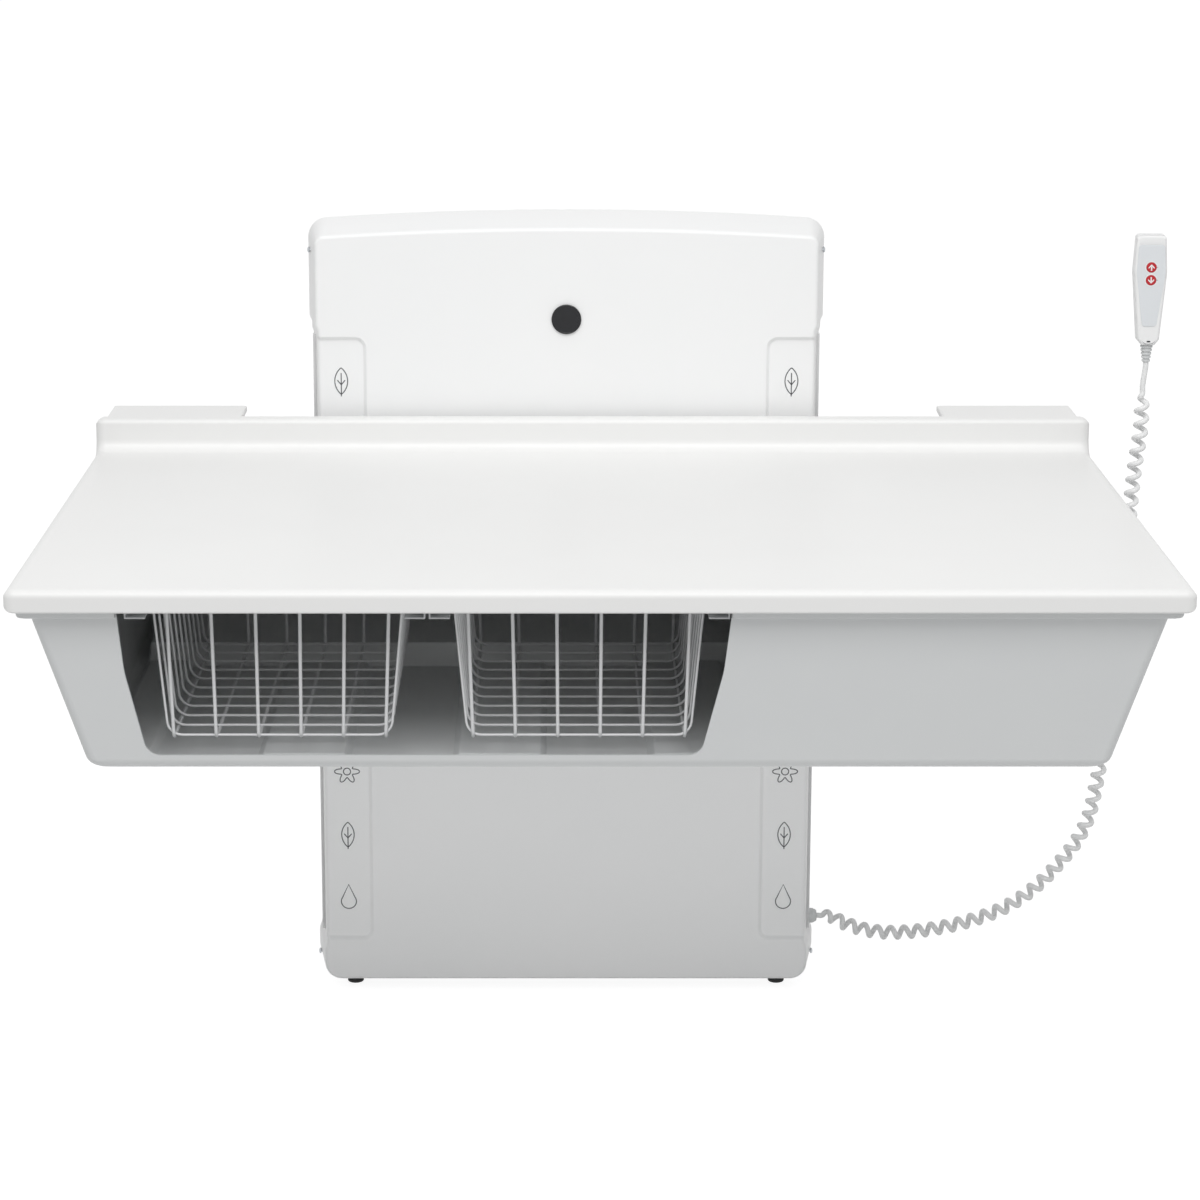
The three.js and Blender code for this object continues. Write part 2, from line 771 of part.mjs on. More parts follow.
place(table, 'carriage_plate', carriagePlate(), whiteSteel);
place(table, 'lift_nut', liftNut(), zincSteel, 0, 0, bracketLow + bracketHeight / 2);
place(table, 'bracket_right', bracket(), whiteSteel);
const mirroredBracket = bracket().mirror([1, 0, 0]);
place(table, 'bracket_left', mirroredBracket, whiteSteel);
const shoeHeights = { lower: bracketLow + shoeInset, upper: -bracketTop - shoeInset - shoeHeight };
for (const [sideName, side] of Object.entries(sides)) {
  for (const [levelName, height] of Object.entries(bracketBoltHeights)) {
    const x = side * bracketBoltX;
    place(table, `bracket_bolt_${levelName}_${sideName}`, bracketBolt(), zincSteel, x, 0, height);
  }
  for (const [levelName, height] of Object.entries(shoeHeights)) {
    const x = side * railX;
    place(table, `glide_shoe_${levelName}_${sideName}`, glideShoe(), darkPlastic, x, 0, height);
  }
}

// Table: beam, arms and board

const boardLeft = boardShift - boardWidth / 2;
const boardRight = boardShift + boardWidth / 2;
const boardFrontOut = boardWallGap + boardDepth;
const underBoard = -boardThickness - seatGap; // top of what carries the board
const beamBackOut = bracketFrontOut + bracketSheet + seatGap;
const beamFrontOut = beamBackOut + beamDepth;

function rearBeam() {
  const [left, right] = [boardLeft + beamInset, boardRight - beamInset];
  const tube = solid(block(left, right, beamBackOut, beamFrontOut, underBoard - beamHeight, underBoard));
  const hollow = block(left - margin, right + margin, beamBackOut + beamWall, beamFrontOut - beamWall,
    underBoard - beamHeight + beamWall, underBoard - beamWall);
  return cut(tube, [hollow]);
}

function supportArm() {
  const half = armWidth / 2;
  const [back, front] = [beamFrontOut + seatGap, boardFrontOut - armFrontInset];
  const tube = solid(block(-half, half, back, front, underBoard - armHeight, underBoard));
  const room = half - armWall;
  return cut(tube, [block(-room, room, back - margin, front + margin,
    underBoard - armHeight + armWall, underBoard - armWall)]);
}

function tabletop() {
  const rear = boardWallGap;
  const upstandFront = rear + upstandThickness;
  const profile = fromSide(outline([
    [rear, -boardThickness],
    [boardFrontOut, -boardThickness, boardLowerRounding],
    [boardFrontOut, 0, boardEdgeRounding],
    [upstandFront, 0, upstandCove],
    [upstandFront, upstandHeight, upstandRounding],
    [rear, upstandHeight, upstandBackRounding],
  ]), boardLeft, boardRight);
  const plan = fromAbove(outline([
    [boardLeft, rear],
    [boardRight, rear],
    [boardRight, boardFrontOut, boardCornerRounding],
    [boardLeft, boardFrontOut, boardCornerRounding],
  ]), -boardThickness, upstandHeight);
  const foot = -2 * boardThickness;
  const boardEnds = rectangle(boardLeft, boardRight, foot, 0, boardEdgeRounding);
  const upstandEnds = rectangle(boardLeft, boardRight, foot, upstandHeight, upstandEndRounding);
  const ends = joined([
    fromFront(boardEnds, rear, boardFrontOut),
    fromFront(upstandEnds, rear - margin, upstandFront + upstandCove),
  ]);
  return solid(profile).intersect(solid(plan)).intersect(ends);
}

// Screwed to the upstand's back, with a flat top that reaches towards the wall
function gapPlate() {
  const top = upstandHeight - gapPlateDrop;
  const front = boardWallGap - seatGap;
  return fromSide(outline([
    [gapPlateWallGap, top - gapPlateThickness, gapPlateRounding],
    [front - gapPlateThickness, top - gapPlateThickness],
    [front - gapPlateThickness, top - gapPlateFlange],
    [front, top - gapPlateFlange],
    [front, top],
    [gapPlateWallGap, top, gapPlateRounding],
  ]), 0, gapPlateWidth);
}

place(table, 'rear_beam', rearBeam(), whiteSteel);
const armPlaces = { left: boardLeft + armEndInset, middle: middleArmX, right: boardRight - armEndInset };
for (const [armName, x] of Object.entries(armPlaces)) {
  place(table, `support_arm_${armName}`, supportArm(), whiteSteel, x);
}
place(table, 'tabletop', tabletop(), whiteLaminate);
place(table, 'gap_plate_left', gapPlate(), whiteLaminate, boardLeft + gapPlateInset);
place(table, 'gap_plate_right', gapPlate(), whiteLaminate, boardRight - gapPlateInset - gapPlateWidth);

// Table: storage tray

const trayTop = underBoard - trayFlange;
const trayBackOut = beamFrontOut + trayBackGap;
const trayFrontOut = boardFrontOut - trayInset;
const trayFloor = -trayDepthBelow + trayWall;

// The tray's tapered body, made smaller all round by the given inset
function trayBody(inset, top) {
  const bottom = -trayDepthBelow + inset;
  const span = (height, taper) => taper * (trayTop - height) / (trayTop + trayDepthBelow);
  const [left, right] = [boardLeft + trayInset + inset, boardRight - trayInset - inset];
  const across = outline([
    [left + span(bottom, traySideTaper), bottom, trayRounding],
    [right - span(bottom, traySideTaper), bottom, trayRounding],
    [right - span(top, traySideTaper), top],
    [left + span(top, traySideTaper), top],
  ]);
  const along = outline([
    [trayBackOut + inset + span(bottom, trayRearTaper), bottom, trayRounding],
    [trayFrontOut - inset - span(bottom, trayFrontTaper), bottom, trayRounding],
    [trayFrontOut - inset - span(top, trayFrontTaper), top],
    [trayBackOut + inset + span(top, trayRearTaper), top],
  ]);
  const crossways = solid(fromFront(across, trayBackOut, trayFrontOut + trayFlange));
  return crossways.intersect(solid(fromSide(along, left - traySideTaper, right + traySideTaper)));
}

// A raised band on the tray's floor, from the front wall's foot to the step
function floorRib(x) {
  const half = ribWidth / 2;
  const frontOut = trayFrontOut - trayFrontTaper - 2 * trayRounding;
  const ridge = outline([
    [x - half - ribSlope, trayFloor - trayWall / 2],
    [x + half + ribSlope, trayFloor - trayWall / 2],
    [x + half, trayFloor + ribHeight],
    [x - half, trayFloor + ribHeight],
  ]);
  return fromFront(ridge, stepFrontOut - margin, frontOut);
}

function underTray() {
  const [rimLeft, rimRight] = [boardLeft + trayFlangeInset, boardRight - trayFlangeInset];
  const rim = block(rimLeft, rimRight, trayBackOut, boardFrontOut - trayFlangeInset, trayTop, underBoard);
  const inside = trayBody(trayWall, underBoard + margin);
  const stepBottom = trayFloor - trayWall / 2;
  const stepEnds = [boardLeft + trayInset + traySideTaper, boardRight - trayInset - traySideTaper];
  const stepBack = trayBackOut + trayRearTaper;
  const step = block(...stepEnds, stepBack, stepFrontOut, stepBottom, trayFloor + stepHeight);
  const floorParts = [step];
  for (let index = 0; index < ribCount; index += 1) {
    floorParts.push(floorRib(ribFirstX + (index - 1) * ribPitch));
  }
  const shell = trayBody(0, trayTop).add(solid(rim)).subtract(inside);
  const filled = shell.add(joined(floorParts).intersect(trayBody(trayWall / 2, underBoard)));
  const underStep = block(stepEnds[0] + trayWall, stepEnds[1] - trayWall, stepBack + trayWall,
    stepFrontOut - trayWall, -trayDepthBelow - margin, trayFloor + stepHeight - trayWall);
  const openingLow = -trayDepthBelow + openingRim;
  const opening = outline([
    [openingBottom.left, openingLow, openingRounding],
    [openingBottom.right, openingLow, openingRounding],
    [openingTop.right, underBoard + margin],
    [openingTop.left, underBoard + margin],
  ]);
  const rearCut = block(boardLeft, boardRight, 0, stepBack, -trayRearDrop, underBoard + margin);
  const frontWallOut = trayFrontOut - trayFrontTaper - 2 * trayRounding;
  return cut(filled, [fromFront(opening, frontWallOut, boardFrontOut), rearCut, underStep]);
}

place(table, 'under_tray', underTray(), greyMoulding);

// Table: basket rails and baskets

const basketRailTop = underBoard;
const basketRailLip = basketRailTop - basketRailHeight + basketRailSheet;
const basketRim = basketRailLip + seatGap + rimWireDiameter / 2;
const basketFrontOut = boardFrontOut - basketFrontInset;
const basketBackOut = basketFrontOut - crossWirePitch * (crossWireCount - 1) - longWireBend;
const basketRailEnds = [basketBackOut - basketRailBehind, boardFrontOut - basketRailFrontInset];

// A channel that is open towards the basket; the rim's side wire runs on its lower lip
function basketRail(side) {
  const inner = basketRimHalfWidth - basketRailWidth / 2;
  const outer = inner + basketRailWidth;
  const low = basketRailTop - basketRailHeight;
  const profile = outline([
    [inner, low],
    [outer, low],
    [outer, basketRailTop],
    [inner, basketRailTop],
    [inner, basketRailTop - basketRailSheet],
    [outer - basketRailSheet, basketRailTop - basketRailSheet],
    [outer - basketRailSheet, basketRailLip],
    [inner, basketRailLip],
  ]);
  const channel = solid(fromFront(profile, ...basketRailEnds));
  return side > 0 ? channel : channel.mirror([1, 0, 0]);
}

// A path that runs straight from one bend point of a wire to the next
class BentWire extends THREE.Curve {
  constructor(points) {
    super();
    this.points = points;
  }

  getPoint(t, target = new THREE.Vector3()) {
    const along = t * (this.points.length - 1);
    const index = Math.min(Math.floor(along), this.points.length - 2);
    return target.lerpVectors(this.points[index], this.points[index + 1], along - index);
  }

  getPointAt(u, target) {
    return this.getPoint(u, target);
  }

  getTangentAt(u, target) {
    return this.getTangent(u, target);
  }
}

function roundSection(diameter, sideCount) {
  const corner = (index) => {
    const angle = 2 * Math.PI * (index + 0.5) / sideCount;
    return new THREE.Vector2(Math.cos(angle), Math.sin(angle)).multiplyScalar(diameter / 2);
  };
  return new THREE.Shape(Array.from({ length: sideCount }, (_, index) => corner(index)));
}

function wire(points, diameter) {
  const section = roundSection(diameter, wireSides);
  return new THREE.ExtrudeGeometry(section, { steps: points.length - 1, extrudePath: new BentWire(points) });
}

const bends = (corners) => trace(new THREE.Path(), corners, false).getPoints(bendSteps);

// A U from rim to rim, with its ends turned out onto the rim's side wires
function crossWire(out) {
  const bottom = -basketBottom;
  const points = bends([
    [-basketRimHalfWidth, basketRim],
    [-basketTopHalfWidth, basketRim, rimBend],
    [-basketBottomHalfWidth, bottom, crossWireBend],
    [basketBottomHalfWidth, bottom, crossWireBend],
    [basketTopHalfWidth, basketRim, rimBend],
    [basketRimHalfWidth, basketRim],
  ]);
  return wire(points.map(({ x, y }) => new THREE.Vector3(x, -out, y)), crossWireDiameter);
}

// Down the basket's front, back below the cross wires, and up its rear
function longWire(index) {
  const across = index - (longWireCount - 1) / 2;
  const bottom = -basketBottom - (crossWireDiameter + longWireDiameter) / 2 + wireWeld;
  const points = bends([
    [basketFrontOut, basketRim],
    [basketFrontOut, bottom, longWireBend],
    [basketBackOut, bottom, longWireBend],
    [basketBackOut, basketRim],
  ]);
  const spread = (height) => longWirePitch + longWireSplay * (height - bottom) / (basketRim - bottom);
  return wire(points.map(({ x, y }) => new THREE.Vector3(across * spread(y), -x, y)), longWireDiameter);
}

function basket() {
  const wires = [];
  const firstCross = basketFrontOut - (crossWireDiameter + longWireDiameter) / 2 + wireWeld;
  for (let index = 0; index < crossWireCount; index += 1) {
    wires.push(crossWire(firstCross - index * crossWirePitch));
  }
  for (let index = 0; index < longWireCount; index += 1) {
    wires.push(longWire(index));
  }
  for (const side of Object.values(sides)) {
    const x = side * basketRimHalfWidth;
    wires.push(wire([
      new THREE.Vector3(x, -basketBackOut + rimWireEnd, basketRim),
      new THREE.Vector3(x, -basketFrontOut - rimWireEnd, basketRim),
    ], rimWireDiameter));
  }
  for (const out of [basketFrontOut, basketBackOut]) {
    wires.push(wire([
      new THREE.Vector3(-basketRimHalfWidth, -out, basketRim),
      new THREE.Vector3(basketRimHalfWidth, -out, basketRim),
    ], endWireDiameter));
  }
  return joined(wires);
}

const basketPlaces = { left: basketLeftX, right: basketLeftX + 2 * basketRimHalfWidth + basketGap };
for (const [basketName, x] of Object.entries(basketPlaces)) {
  place(table, `basket_${basketName}`, basket(), wireCoating, x);
  for (const [sideName, side] of Object.entries(sides)) {
    place(table, `basket_rail_${basketName}_${sideName}`, basketRail(side), greyMoulding, x);
  }
}

// Handset

const handsetFrontOut = handsetBackOut + handsetDepth;
const handsetJoint = handsetBackOut + handsetSplit;
const shellRoomFront = handsetFrontOut - handsetWall; // inner face of the front shell's face
const buttonRear = shellRoomFront - seatGap - buttonFlange;

function handsetOutline(inset) {
  const foot = handsetFootHalfWidth - inset;
  const widest = handsetWidestHalfWidth - inset;
  const top = handsetTopHalfWidth - inset;
  const chin = handsetChin / 2; // rounding of each of the chin's corners
  return outline([
    [-foot, inset + handsetChin, chin],
    [-reliefTopRadius, inset, chin],
    [reliefTopRadius, inset, chin],
    [foot, inset + handsetChin, chin],
    [widest, handsetWidestHeight, handsetShoulder],
    [top, handsetLength - inset, handsetRounding],
    [-top, handsetLength - inset, handsetRounding],
    [-widest, handsetWidestHeight, handsetShoulder],
  ]);
}

function keypadOutline(gap) {
  return outline([
    [-keypadFootHalfWidth - gap, keypadLow - gap, keypadRounding],
    [keypadFootHalfWidth + gap, keypadLow - gap, keypadRounding],
    [keypadHalfWidth + gap, handsetWidestHeight, keypadShoulder],
    [keypadTopHalfWidth + gap, keypadHigh + gap, keypadRounding],
    [-keypadTopHalfWidth - gap, keypadHigh + gap, keypadRounding],
    [-keypadHalfWidth - gap, handsetWidestHeight, keypadShoulder],
  ]);
}

function buttonHoles() {
  return Object.values(buttonHeights).map((height) => {
    const hole = facingOut(rod(buttonRadius + boltGap, shellRoomFront - margin, handsetFrontOut + margin));
    return hole.translate(0, 0, height);
  });
}

function handsetFrontShell() {
  const outside = solid(fromFront(handsetOutline(0), handsetJoint + seatGap, handsetFrontOut));
  const room = fromFront(handsetOutline(handsetWall), handsetJoint, shellRoomFront);
  const past = handsetFrontOut + margin;
  const panelSeat = fromFront(keypadOutline(seatGap), handsetFrontOut - keypadThickness - seatGap, past);
  const lensHalf = lensWidth / 2 + seatGap;
  const lensSeat = block(-lensHalf, lensHalf, handsetFrontOut - lensDepth - seatGap, past,
    lensLow - seatGap, lensLow + lensHeight + seatGap);
  return cut(outside, [room, panelSeat, lensSeat, ...buttonHoles()]);
}

const tongueBackOut = holderPlate + slideGap;
const pocketFloor = holderLow + holderLip;
const circuitBackOut = buttonRear - buttonTravel - seatGap - circuitThickness;

// The rear shell has posts for the circuit board and a tongue that hooks into the holder's pocket
function handsetBackShell() {
  const outside = solid(fromFront(handsetOutline(0), handsetBackOut, handsetJoint));
  const room = fromFront(handsetOutline(handsetWall), handsetBackOut + handsetWall, handsetJoint + margin);
  const tray = cut(outside, [room]);
  const shellMiddle = handsetBackOut + handsetWall / 2;
  const posts = [circuitLow + circuitPostInset, circuitHigh - circuitPostInset].map((height) => {
    const post = rod(circuitPostRadius, shellMiddle, circuitBackOut - seatGap, smallTurnedSides);
    return facingOut(post).translate(0, 0, height);
  });
  const tongueTop = pocketFloor + holderPocketDepth + tongueRoot;
  const tongue = fromSide(outline([
    [tongueBackOut, pocketFloor + seatGap],
    [tongueBackOut + tongueThickness, pocketFloor + seatGap],
    [tongueBackOut + tongueThickness, tongueTop - tongueRoot + seatGap],
    [shellMiddle, tongueTop - tongueRoot + seatGap],
    [shellMiddle, tongueTop],
    [tongueBackOut, tongueTop],
  ]), -tongueWidth / 2, tongueWidth / 2);
  return tray.add(joined([...posts, tongue]));
}

function handsetHolder() {
  const half = holderWidth / 2;
  const lipBackOut = tongueBackOut + tongueThickness + slideGap;
  const body = fromSide(outline([
    [0, holderLow],
    [lipBackOut + holderLip, holderLow, holderRounding],
    [lipBackOut + holderLip, pocketFloor + holderPocketDepth],
    [lipBackOut, pocketFloor + holderPocketDepth],
    [lipBackOut, pocketFloor],
    [holderPlate, pocketFloor],
    [holderPlate, holderHigh, holderRounding],
    [0, holderHigh],
  ]), -half, half);
  const holes = holderScrewHeights().map((height) => {
    const hole = facingOut(turned([
      [0, -margin],
      [holderScrewRadius + boltGap, -margin],
      [holderScrewRadius + boltGap, holderPlate - holderCountersink],
      [holderScrewHeadRadius + boltGap, holderPlate],
      [holderScrewHeadRadius + boltGap, holderPlate + margin],
      [0, holderPlate + margin],
    ], smallTurnedSides));
    return hole.translate(0, 0, height);
  });
  return cut(solid(body), holes);
}

// Both screws stand above the tongue's place in the pocket, sunk into the plate so that the tongue passes them
function holderScrewHeights() {
  const low = pocketFloor + holderPocketDepth + tongueRoot + holderScrewInset;
  return [low, holderHigh - holderScrewInset];
}

function holderScrew() {
  const flare = (holderScrewHeadRadius - holderScrewRadius) / holderCountersink;
  const head = holderPlate - seatGap;
  return facingOut(turned([
    [0, 0],
    [holderScrewRadius, 0],
    [holderScrewRadius, holderPlate - holderCountersink],
    [holderScrewRadius + flare * (holderCountersink - seatGap), head],
    [0, head],
  ], smallTurnedSides));
}

function pushButton() {
  return facingOut(turned([
    [0, buttonRear],
    [buttonFlangeRadius, buttonRear],
    [buttonFlangeRadius, buttonRear + buttonFlange],
    [buttonRadius, buttonRear + buttonFlange],
    [buttonRadius, handsetFrontOut + buttonProud / 2],
    [buttonRadius - buttonProud, handsetFrontOut + buttonProud],
    [0, handsetFrontOut + buttonProud],
  ]));
}

// Tapers from the handset down to the lead, with grooves that let it bend
function strainRelief() {
  const low = -reliefLength;
  const profile = [[0, low], [reliefTipRadius, low]];
  const ringLength = reliefLength / (reliefRings + 1);
  for (let ring = 1; ring <= reliefRings; ring += 1) {
    const height = low + ring * ringLength;
    const radius = reliefTipRadius + (reliefTopRadius - reliefTipRadius) * ring / (reliefRings + 1);
    profile.push([radius, height - ringLength / 4]);
    profile.push([radius - reliefGroove, height]);
    profile.push([radius, height + ringLength / 4]);
  }
  profile.push([reliefTopRadius, -seatGap], [0, -seatGap]);
  return turned(profile, smallTurnedSides);
}

place(handset, 'handset_front_shell', handsetFrontShell(), whiteMoulding);
place(handset, 'handset_back_shell', handsetBackShell(), whiteMoulding);
const circuitBoard = block(-circuitWidth / 2, circuitWidth / 2,
  circuitBackOut, circuitBackOut + circuitThickness, circuitLow, circuitHigh);
place(handset, 'handset_board', circuitBoard, boardGreen);
const panel = fromFront(keypadOutline(0), handsetFrontOut - keypadThickness, handsetFrontOut);
place(handset, 'keypad_panel', cut(solid(panel), buttonHoles()), panelGrey);
for (const [buttonName, height] of Object.entries(buttonHeights)) {
  place(handset, `${buttonName}_button`, pushButton(), buttonRed, 0, 0, height);
}
const lens = block(-lensWidth / 2, lensWidth / 2, handsetFrontOut - lensDepth, handsetFrontOut,
  lensLow, lensLow + lensHeight);
place(handset, 'signal_lens', lens, darkPlastic);
place(handset, 'strain_relief', strainRelief(), greyMoulding, 0, cordOut);
place(handset, 'handset_holder', handsetHolder(), whiteMoulding);
const [lowerScrewHeight, upperScrewHeight] = holderScrewHeights();
place(handset, 'holder_screw_lower', holderScrew(), zincSteel, 0, 0, lowerScrewHeight);
place(handset, 'holder_screw_upper', holderScrew(), zincSteel, 0, 0, upperScrewHeight);

// Cord

const glandFace = sideCoverHalfWidth + seatGap;
const gland = facingRight(turned([
  [0, frameHalfWidth - frameSheet - glandNoseLength - glandFace],
  [glandBushRadius, frameHalfWidth - frameSheet - glandNoseLength - glandFace],
  [glandBushRadius, 0],
  [glandHeadRadius, 0],
  [glandHeadRadius, glandHeadLength],
  [leadDiameter, glandHeadLength + glandNoseLength],
  [0, glandHeadLength + glandNoseLength],
]));
place(lift, 'cord_gland', gland, greyMoulding, glandFace, cordOut, glandHeight);

function cordTube(route, diameter, sideCount, steps) {
  const path = new THREE.CatmullRomCurve3(route.map(([x, height]) => new THREE.Vector3(x, -cordOut, height)));
  return new THREE.ExtrudeGeometry(roundSection(diameter, sideCount), { steps, extrudePath: path });
}

place(lift, 'handset_cord', cordTube(coilRoute, coilDiameter, coilSides, coilSteps), whiteMoulding);
const coilTopX = coilRoute.at(-1)[0];
const leadTop = handsetLow - reliefLength - seatGap;
const leadRoute = [
  [coilTopX, coilTop + seatGap],
  [coilTopX, coilTop + leadDiameter],
  [handsetX, leadTop - leadDiameter],
  [handsetX, leadTop],
];
place(lift, 'cord_lead', cordTube(leadRoute, leadDiameter, leadSides, leadSteps), whiteMoulding);

export default station;
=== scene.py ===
import json
import math

import bmesh
import bpy
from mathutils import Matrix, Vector


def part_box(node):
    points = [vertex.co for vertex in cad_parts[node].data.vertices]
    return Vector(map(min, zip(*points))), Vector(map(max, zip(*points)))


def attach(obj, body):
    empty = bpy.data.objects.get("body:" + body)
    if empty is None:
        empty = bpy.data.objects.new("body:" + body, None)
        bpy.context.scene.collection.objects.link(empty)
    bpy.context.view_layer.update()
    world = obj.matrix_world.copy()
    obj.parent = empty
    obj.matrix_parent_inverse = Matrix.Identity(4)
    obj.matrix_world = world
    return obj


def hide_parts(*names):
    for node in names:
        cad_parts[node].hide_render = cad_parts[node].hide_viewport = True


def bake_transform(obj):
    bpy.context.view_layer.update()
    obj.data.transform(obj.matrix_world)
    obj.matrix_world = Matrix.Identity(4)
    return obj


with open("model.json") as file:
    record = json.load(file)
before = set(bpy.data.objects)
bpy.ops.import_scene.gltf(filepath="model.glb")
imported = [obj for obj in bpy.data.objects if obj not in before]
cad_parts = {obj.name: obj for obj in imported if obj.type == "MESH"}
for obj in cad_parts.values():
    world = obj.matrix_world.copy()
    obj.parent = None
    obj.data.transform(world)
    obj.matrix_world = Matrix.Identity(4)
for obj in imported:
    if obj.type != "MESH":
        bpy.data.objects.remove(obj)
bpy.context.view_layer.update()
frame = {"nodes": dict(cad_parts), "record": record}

# The looks of a wall-mounted changing station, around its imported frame. Sizes are millimetres until at()
# makes them metres: x runs to the right, "out" from the wall, and "up" from the frame's origin.

MM = 0.001
scene = bpy.context.scene


def at(x, out, up):
    return Vector((x, -out, up)) * MM


def span(node):
    """A CAD node's left, right, nearest and farthest from the wall, lowest and highest, in millimetres."""
    low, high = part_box(node)
    return low.x / MM, high.x / MM, -high.y / MM, -low.y / MM, low.z / MM, high.z / MM


floor_up = span("foot_left")[4]
board_left, board_right, board_rear, board_front, board_under, upstand_top = span("tabletop")
board_thickness = 28
surface = board_under + board_thickness  # the height of the table's surface
seat_gap = 0.3


# Mesh building

def smooth(t):
    return t * t * (3 - 2 * t)


def rounded_loop(corners, inset=0.0, steps=6):
    """A closed outline of (across, up, rounding) corners in anticlockwise order, moved inwards by inset.
    A corner without rounding stays one point, and every other one keeps its number of points."""
    points = [Vector(corner[:2]) for corner in corners]
    edges = [(b - a).normalized() for a, b in zip(points, points[1:] + points[:1])]
    loop = []
    for index, (point, corner) in enumerate(zip(points, corners)):
        before, after = edges[index - 1], edges[index]
        inward = Vector((-before.y, before.x)) + Vector((-after.y, after.x))
        moved = point + inward * (2 * inset / inward.length_squared)
        rounding = corner[2]
        if rounding == 0:
            loop.append(moved)
            continue
        turn = before.angle_signed(after, 0) * -1
        side = 1 if turn > 0 else -1
        radius = max(rounding - side * inset, 0.15)
        reach = radius * math.tan(abs(turn) / 2)
        start = moved - before * reach
        normal = Vector((-before.y, before.x)) * side
        centre = start + normal * radius
        for step in range(steps + 1):
            angle = turn * step / steps
            spoke = start - centre
            loop.append(centre + Vector((
                spoke.x * math.cos(angle) - spoke.y * math.sin(angle),
                spoke.x * math.sin(angle) + spoke.y * math.cos(angle),
            )))
    return loop


def rectangle(left, right, low, high, rounding):
    return [(left, low, rounding), (right, low, rounding), (right, high, rounding), (left, high, rounding)]


def loft(bm, rings):
    """Skins a row of closed rings of points, with a flat face on the first and on the last."""
    rows = [[bm.verts.new(point) for point in ring] for ring in rings]
    for low, high in zip(rows, rows[1:]):
        for index in range(len(low)):
            following = (index + 1) % len(low)
            bm.faces.new((low[index], low[following], high[following], high[index]))
    bm.faces.new(list(reversed(rows[0])))
    bm.faces.new(rows[-1])


def quarter(steps):
    """Sine and cosine along a quarter turn, for a rounded edge."""
    angles = [math.pi / 2 * step / steps for step in range(steps + 1)]
    return [(math.sin(angle), math.cos(angle)) for angle in angles]


def bar_along_x(bm, corners, left, right, end_reach, end_inset, steps=6):
    """A bar of one section, given as (out, up, rounding) corners, with rounded ends."""
    ends = [(end_reach * (1 - cosine), end_inset * (1 - sine)) for sine, cosine in quarter(steps)]
    stations = [(left + reach, inset) for reach, inset in ends]
    stations += [(right - reach, inset) for reach, inset in reversed(ends)]
    loft(bm, [[at(x, out, up) for out, up in rounded_loop(corners, inset)] for x, inset in stations])


def turned(bm, profile, place, axis="up", sides=48):
    """A turned piece from (radius, along) points, on an axis that runs up, out, right or left."""
    x, out, up = place
    turns = [2 * math.pi * index / sides for index in range(sides)]
    rings = []
    for radius, along in profile:
        ring = []
        for turn in turns:
            a, b = radius * math.cos(turn), radius * math.sin(turn)
            if axis == "up":
                ring.append(at(x + a, out + b, up + along))
            elif axis == "out":
                ring.append(at(x + a, out + along, up + b))
            else:
                way = 1 if axis == "right" else -1
                ring.append(at(x + way * along, out + a, up + b))
        rings.append(ring)
    loft(bm, rings)


def bent(corners, steps=6):
    """A path in space through (point, rounding) corners, with an arc at each inner one."""
    path = [corners[0][0]]
    for (before, _), (point, rounding), (after, _) in zip(corners, corners[1:], corners[2:]):
        back = (before - point).normalized()
        onward = (after - point).normalized()
        half = back.angle(onward) / 2
        start = point + back * (rounding / math.tan(half))
        end = point + onward * (rounding / math.tan(half))
        centre = point + (back + onward).normalized() * (rounding / math.sin(half))
        first = (start - centre).normalized()
        last = (end - centre).normalized()
        path += [centre + first.slerp(last, step / steps) * rounding for step in range(steps + 1)]
    path.append(corners[-1][0])
    return path


def tube(bm, path, radius, sides=10):
    """A round wire along a path, closed at both ends."""
    rings = []
    across = (path[1] - path[0]).orthogonal()
    turns = [2 * math.pi * side / sides for side in range(sides)]
    for index, point in enumerate(path):
        along = (path[min(index + 1, len(path) - 1)] - path[max(index - 1, 0)]).normalized()
        across = (across - along * across.dot(along)).normalized()
        other = along.cross(across)
        spokes = [across * math.cos(turn) + other * math.sin(turn) for turn in turns]
        rings.append([point + spoke * radius for spoke in spokes])
    loft(bm, rings)


def finish_mesh(name, bm, outward=True):
    bmesh.ops.remove_doubles(bm, verts=bm.verts, dist=1e-6)
    if outward:
        bmesh.ops.recalc_face_normals(bm, faces=bm.faces)
    mesh = bpy.data.meshes.new(name)
    bm.to_mesh(mesh)
    bm.free()
    mesh.shade_smooth()
    mesh.set_sharp_from_angle(angle=math.radians(42))
    obj = bpy.data.objects.new(name, mesh)
    scene.collection.objects.link(obj)
    return obj


def add_modifier(obj, kind, **settings):
    modifier = obj.modifiers.new(kind.lower(), kind)
    for name, value in settings.items():
        setattr(modifier, name, value)
    return modifier


def broken_edges(obj, width, angle):
    """Rounds the edges that turn by more than an angle in degrees."""
    limit = math.radians(angle)
    add_modifier(obj, "BEVEL", width=width * MM, segments=2, limit_method="ANGLE", angle_limit=limit)


def even_normals(obj):
    """Keeps wide flat faces flat beside their rounded edges."""
    add_modifier(obj, "WEIGHTED_NORMAL", keep_sharp=True, weight=90)


def dress(obj, body, slot, *replaced):
    """Puts a finished piece on its body, with its slot's finish, in place of its CAD nodes."""
    obj.data.materials.append(finishes[slot])
    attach(obj, body)
    if replaced:
        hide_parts(*replaced)
    return obj


def cut_away(obj, cutters):
    """Takes closed cutters off a closed piece, and leaves the result as the piece's own mesh."""
    for cutter in cutters:
        modifier = add_modifier(obj, "BOOLEAN", operation="DIFFERENCE", solver="EXACT", object=cutter)
        graph = bpy.context.evaluated_depsgraph_get()
        result = bpy.data.meshes.new_from_object(obj.evaluated_get(graph))
        obj.modifiers.remove(modifier)
        obj.data = result
        bpy.data.objects.remove(cutter)


# Materials

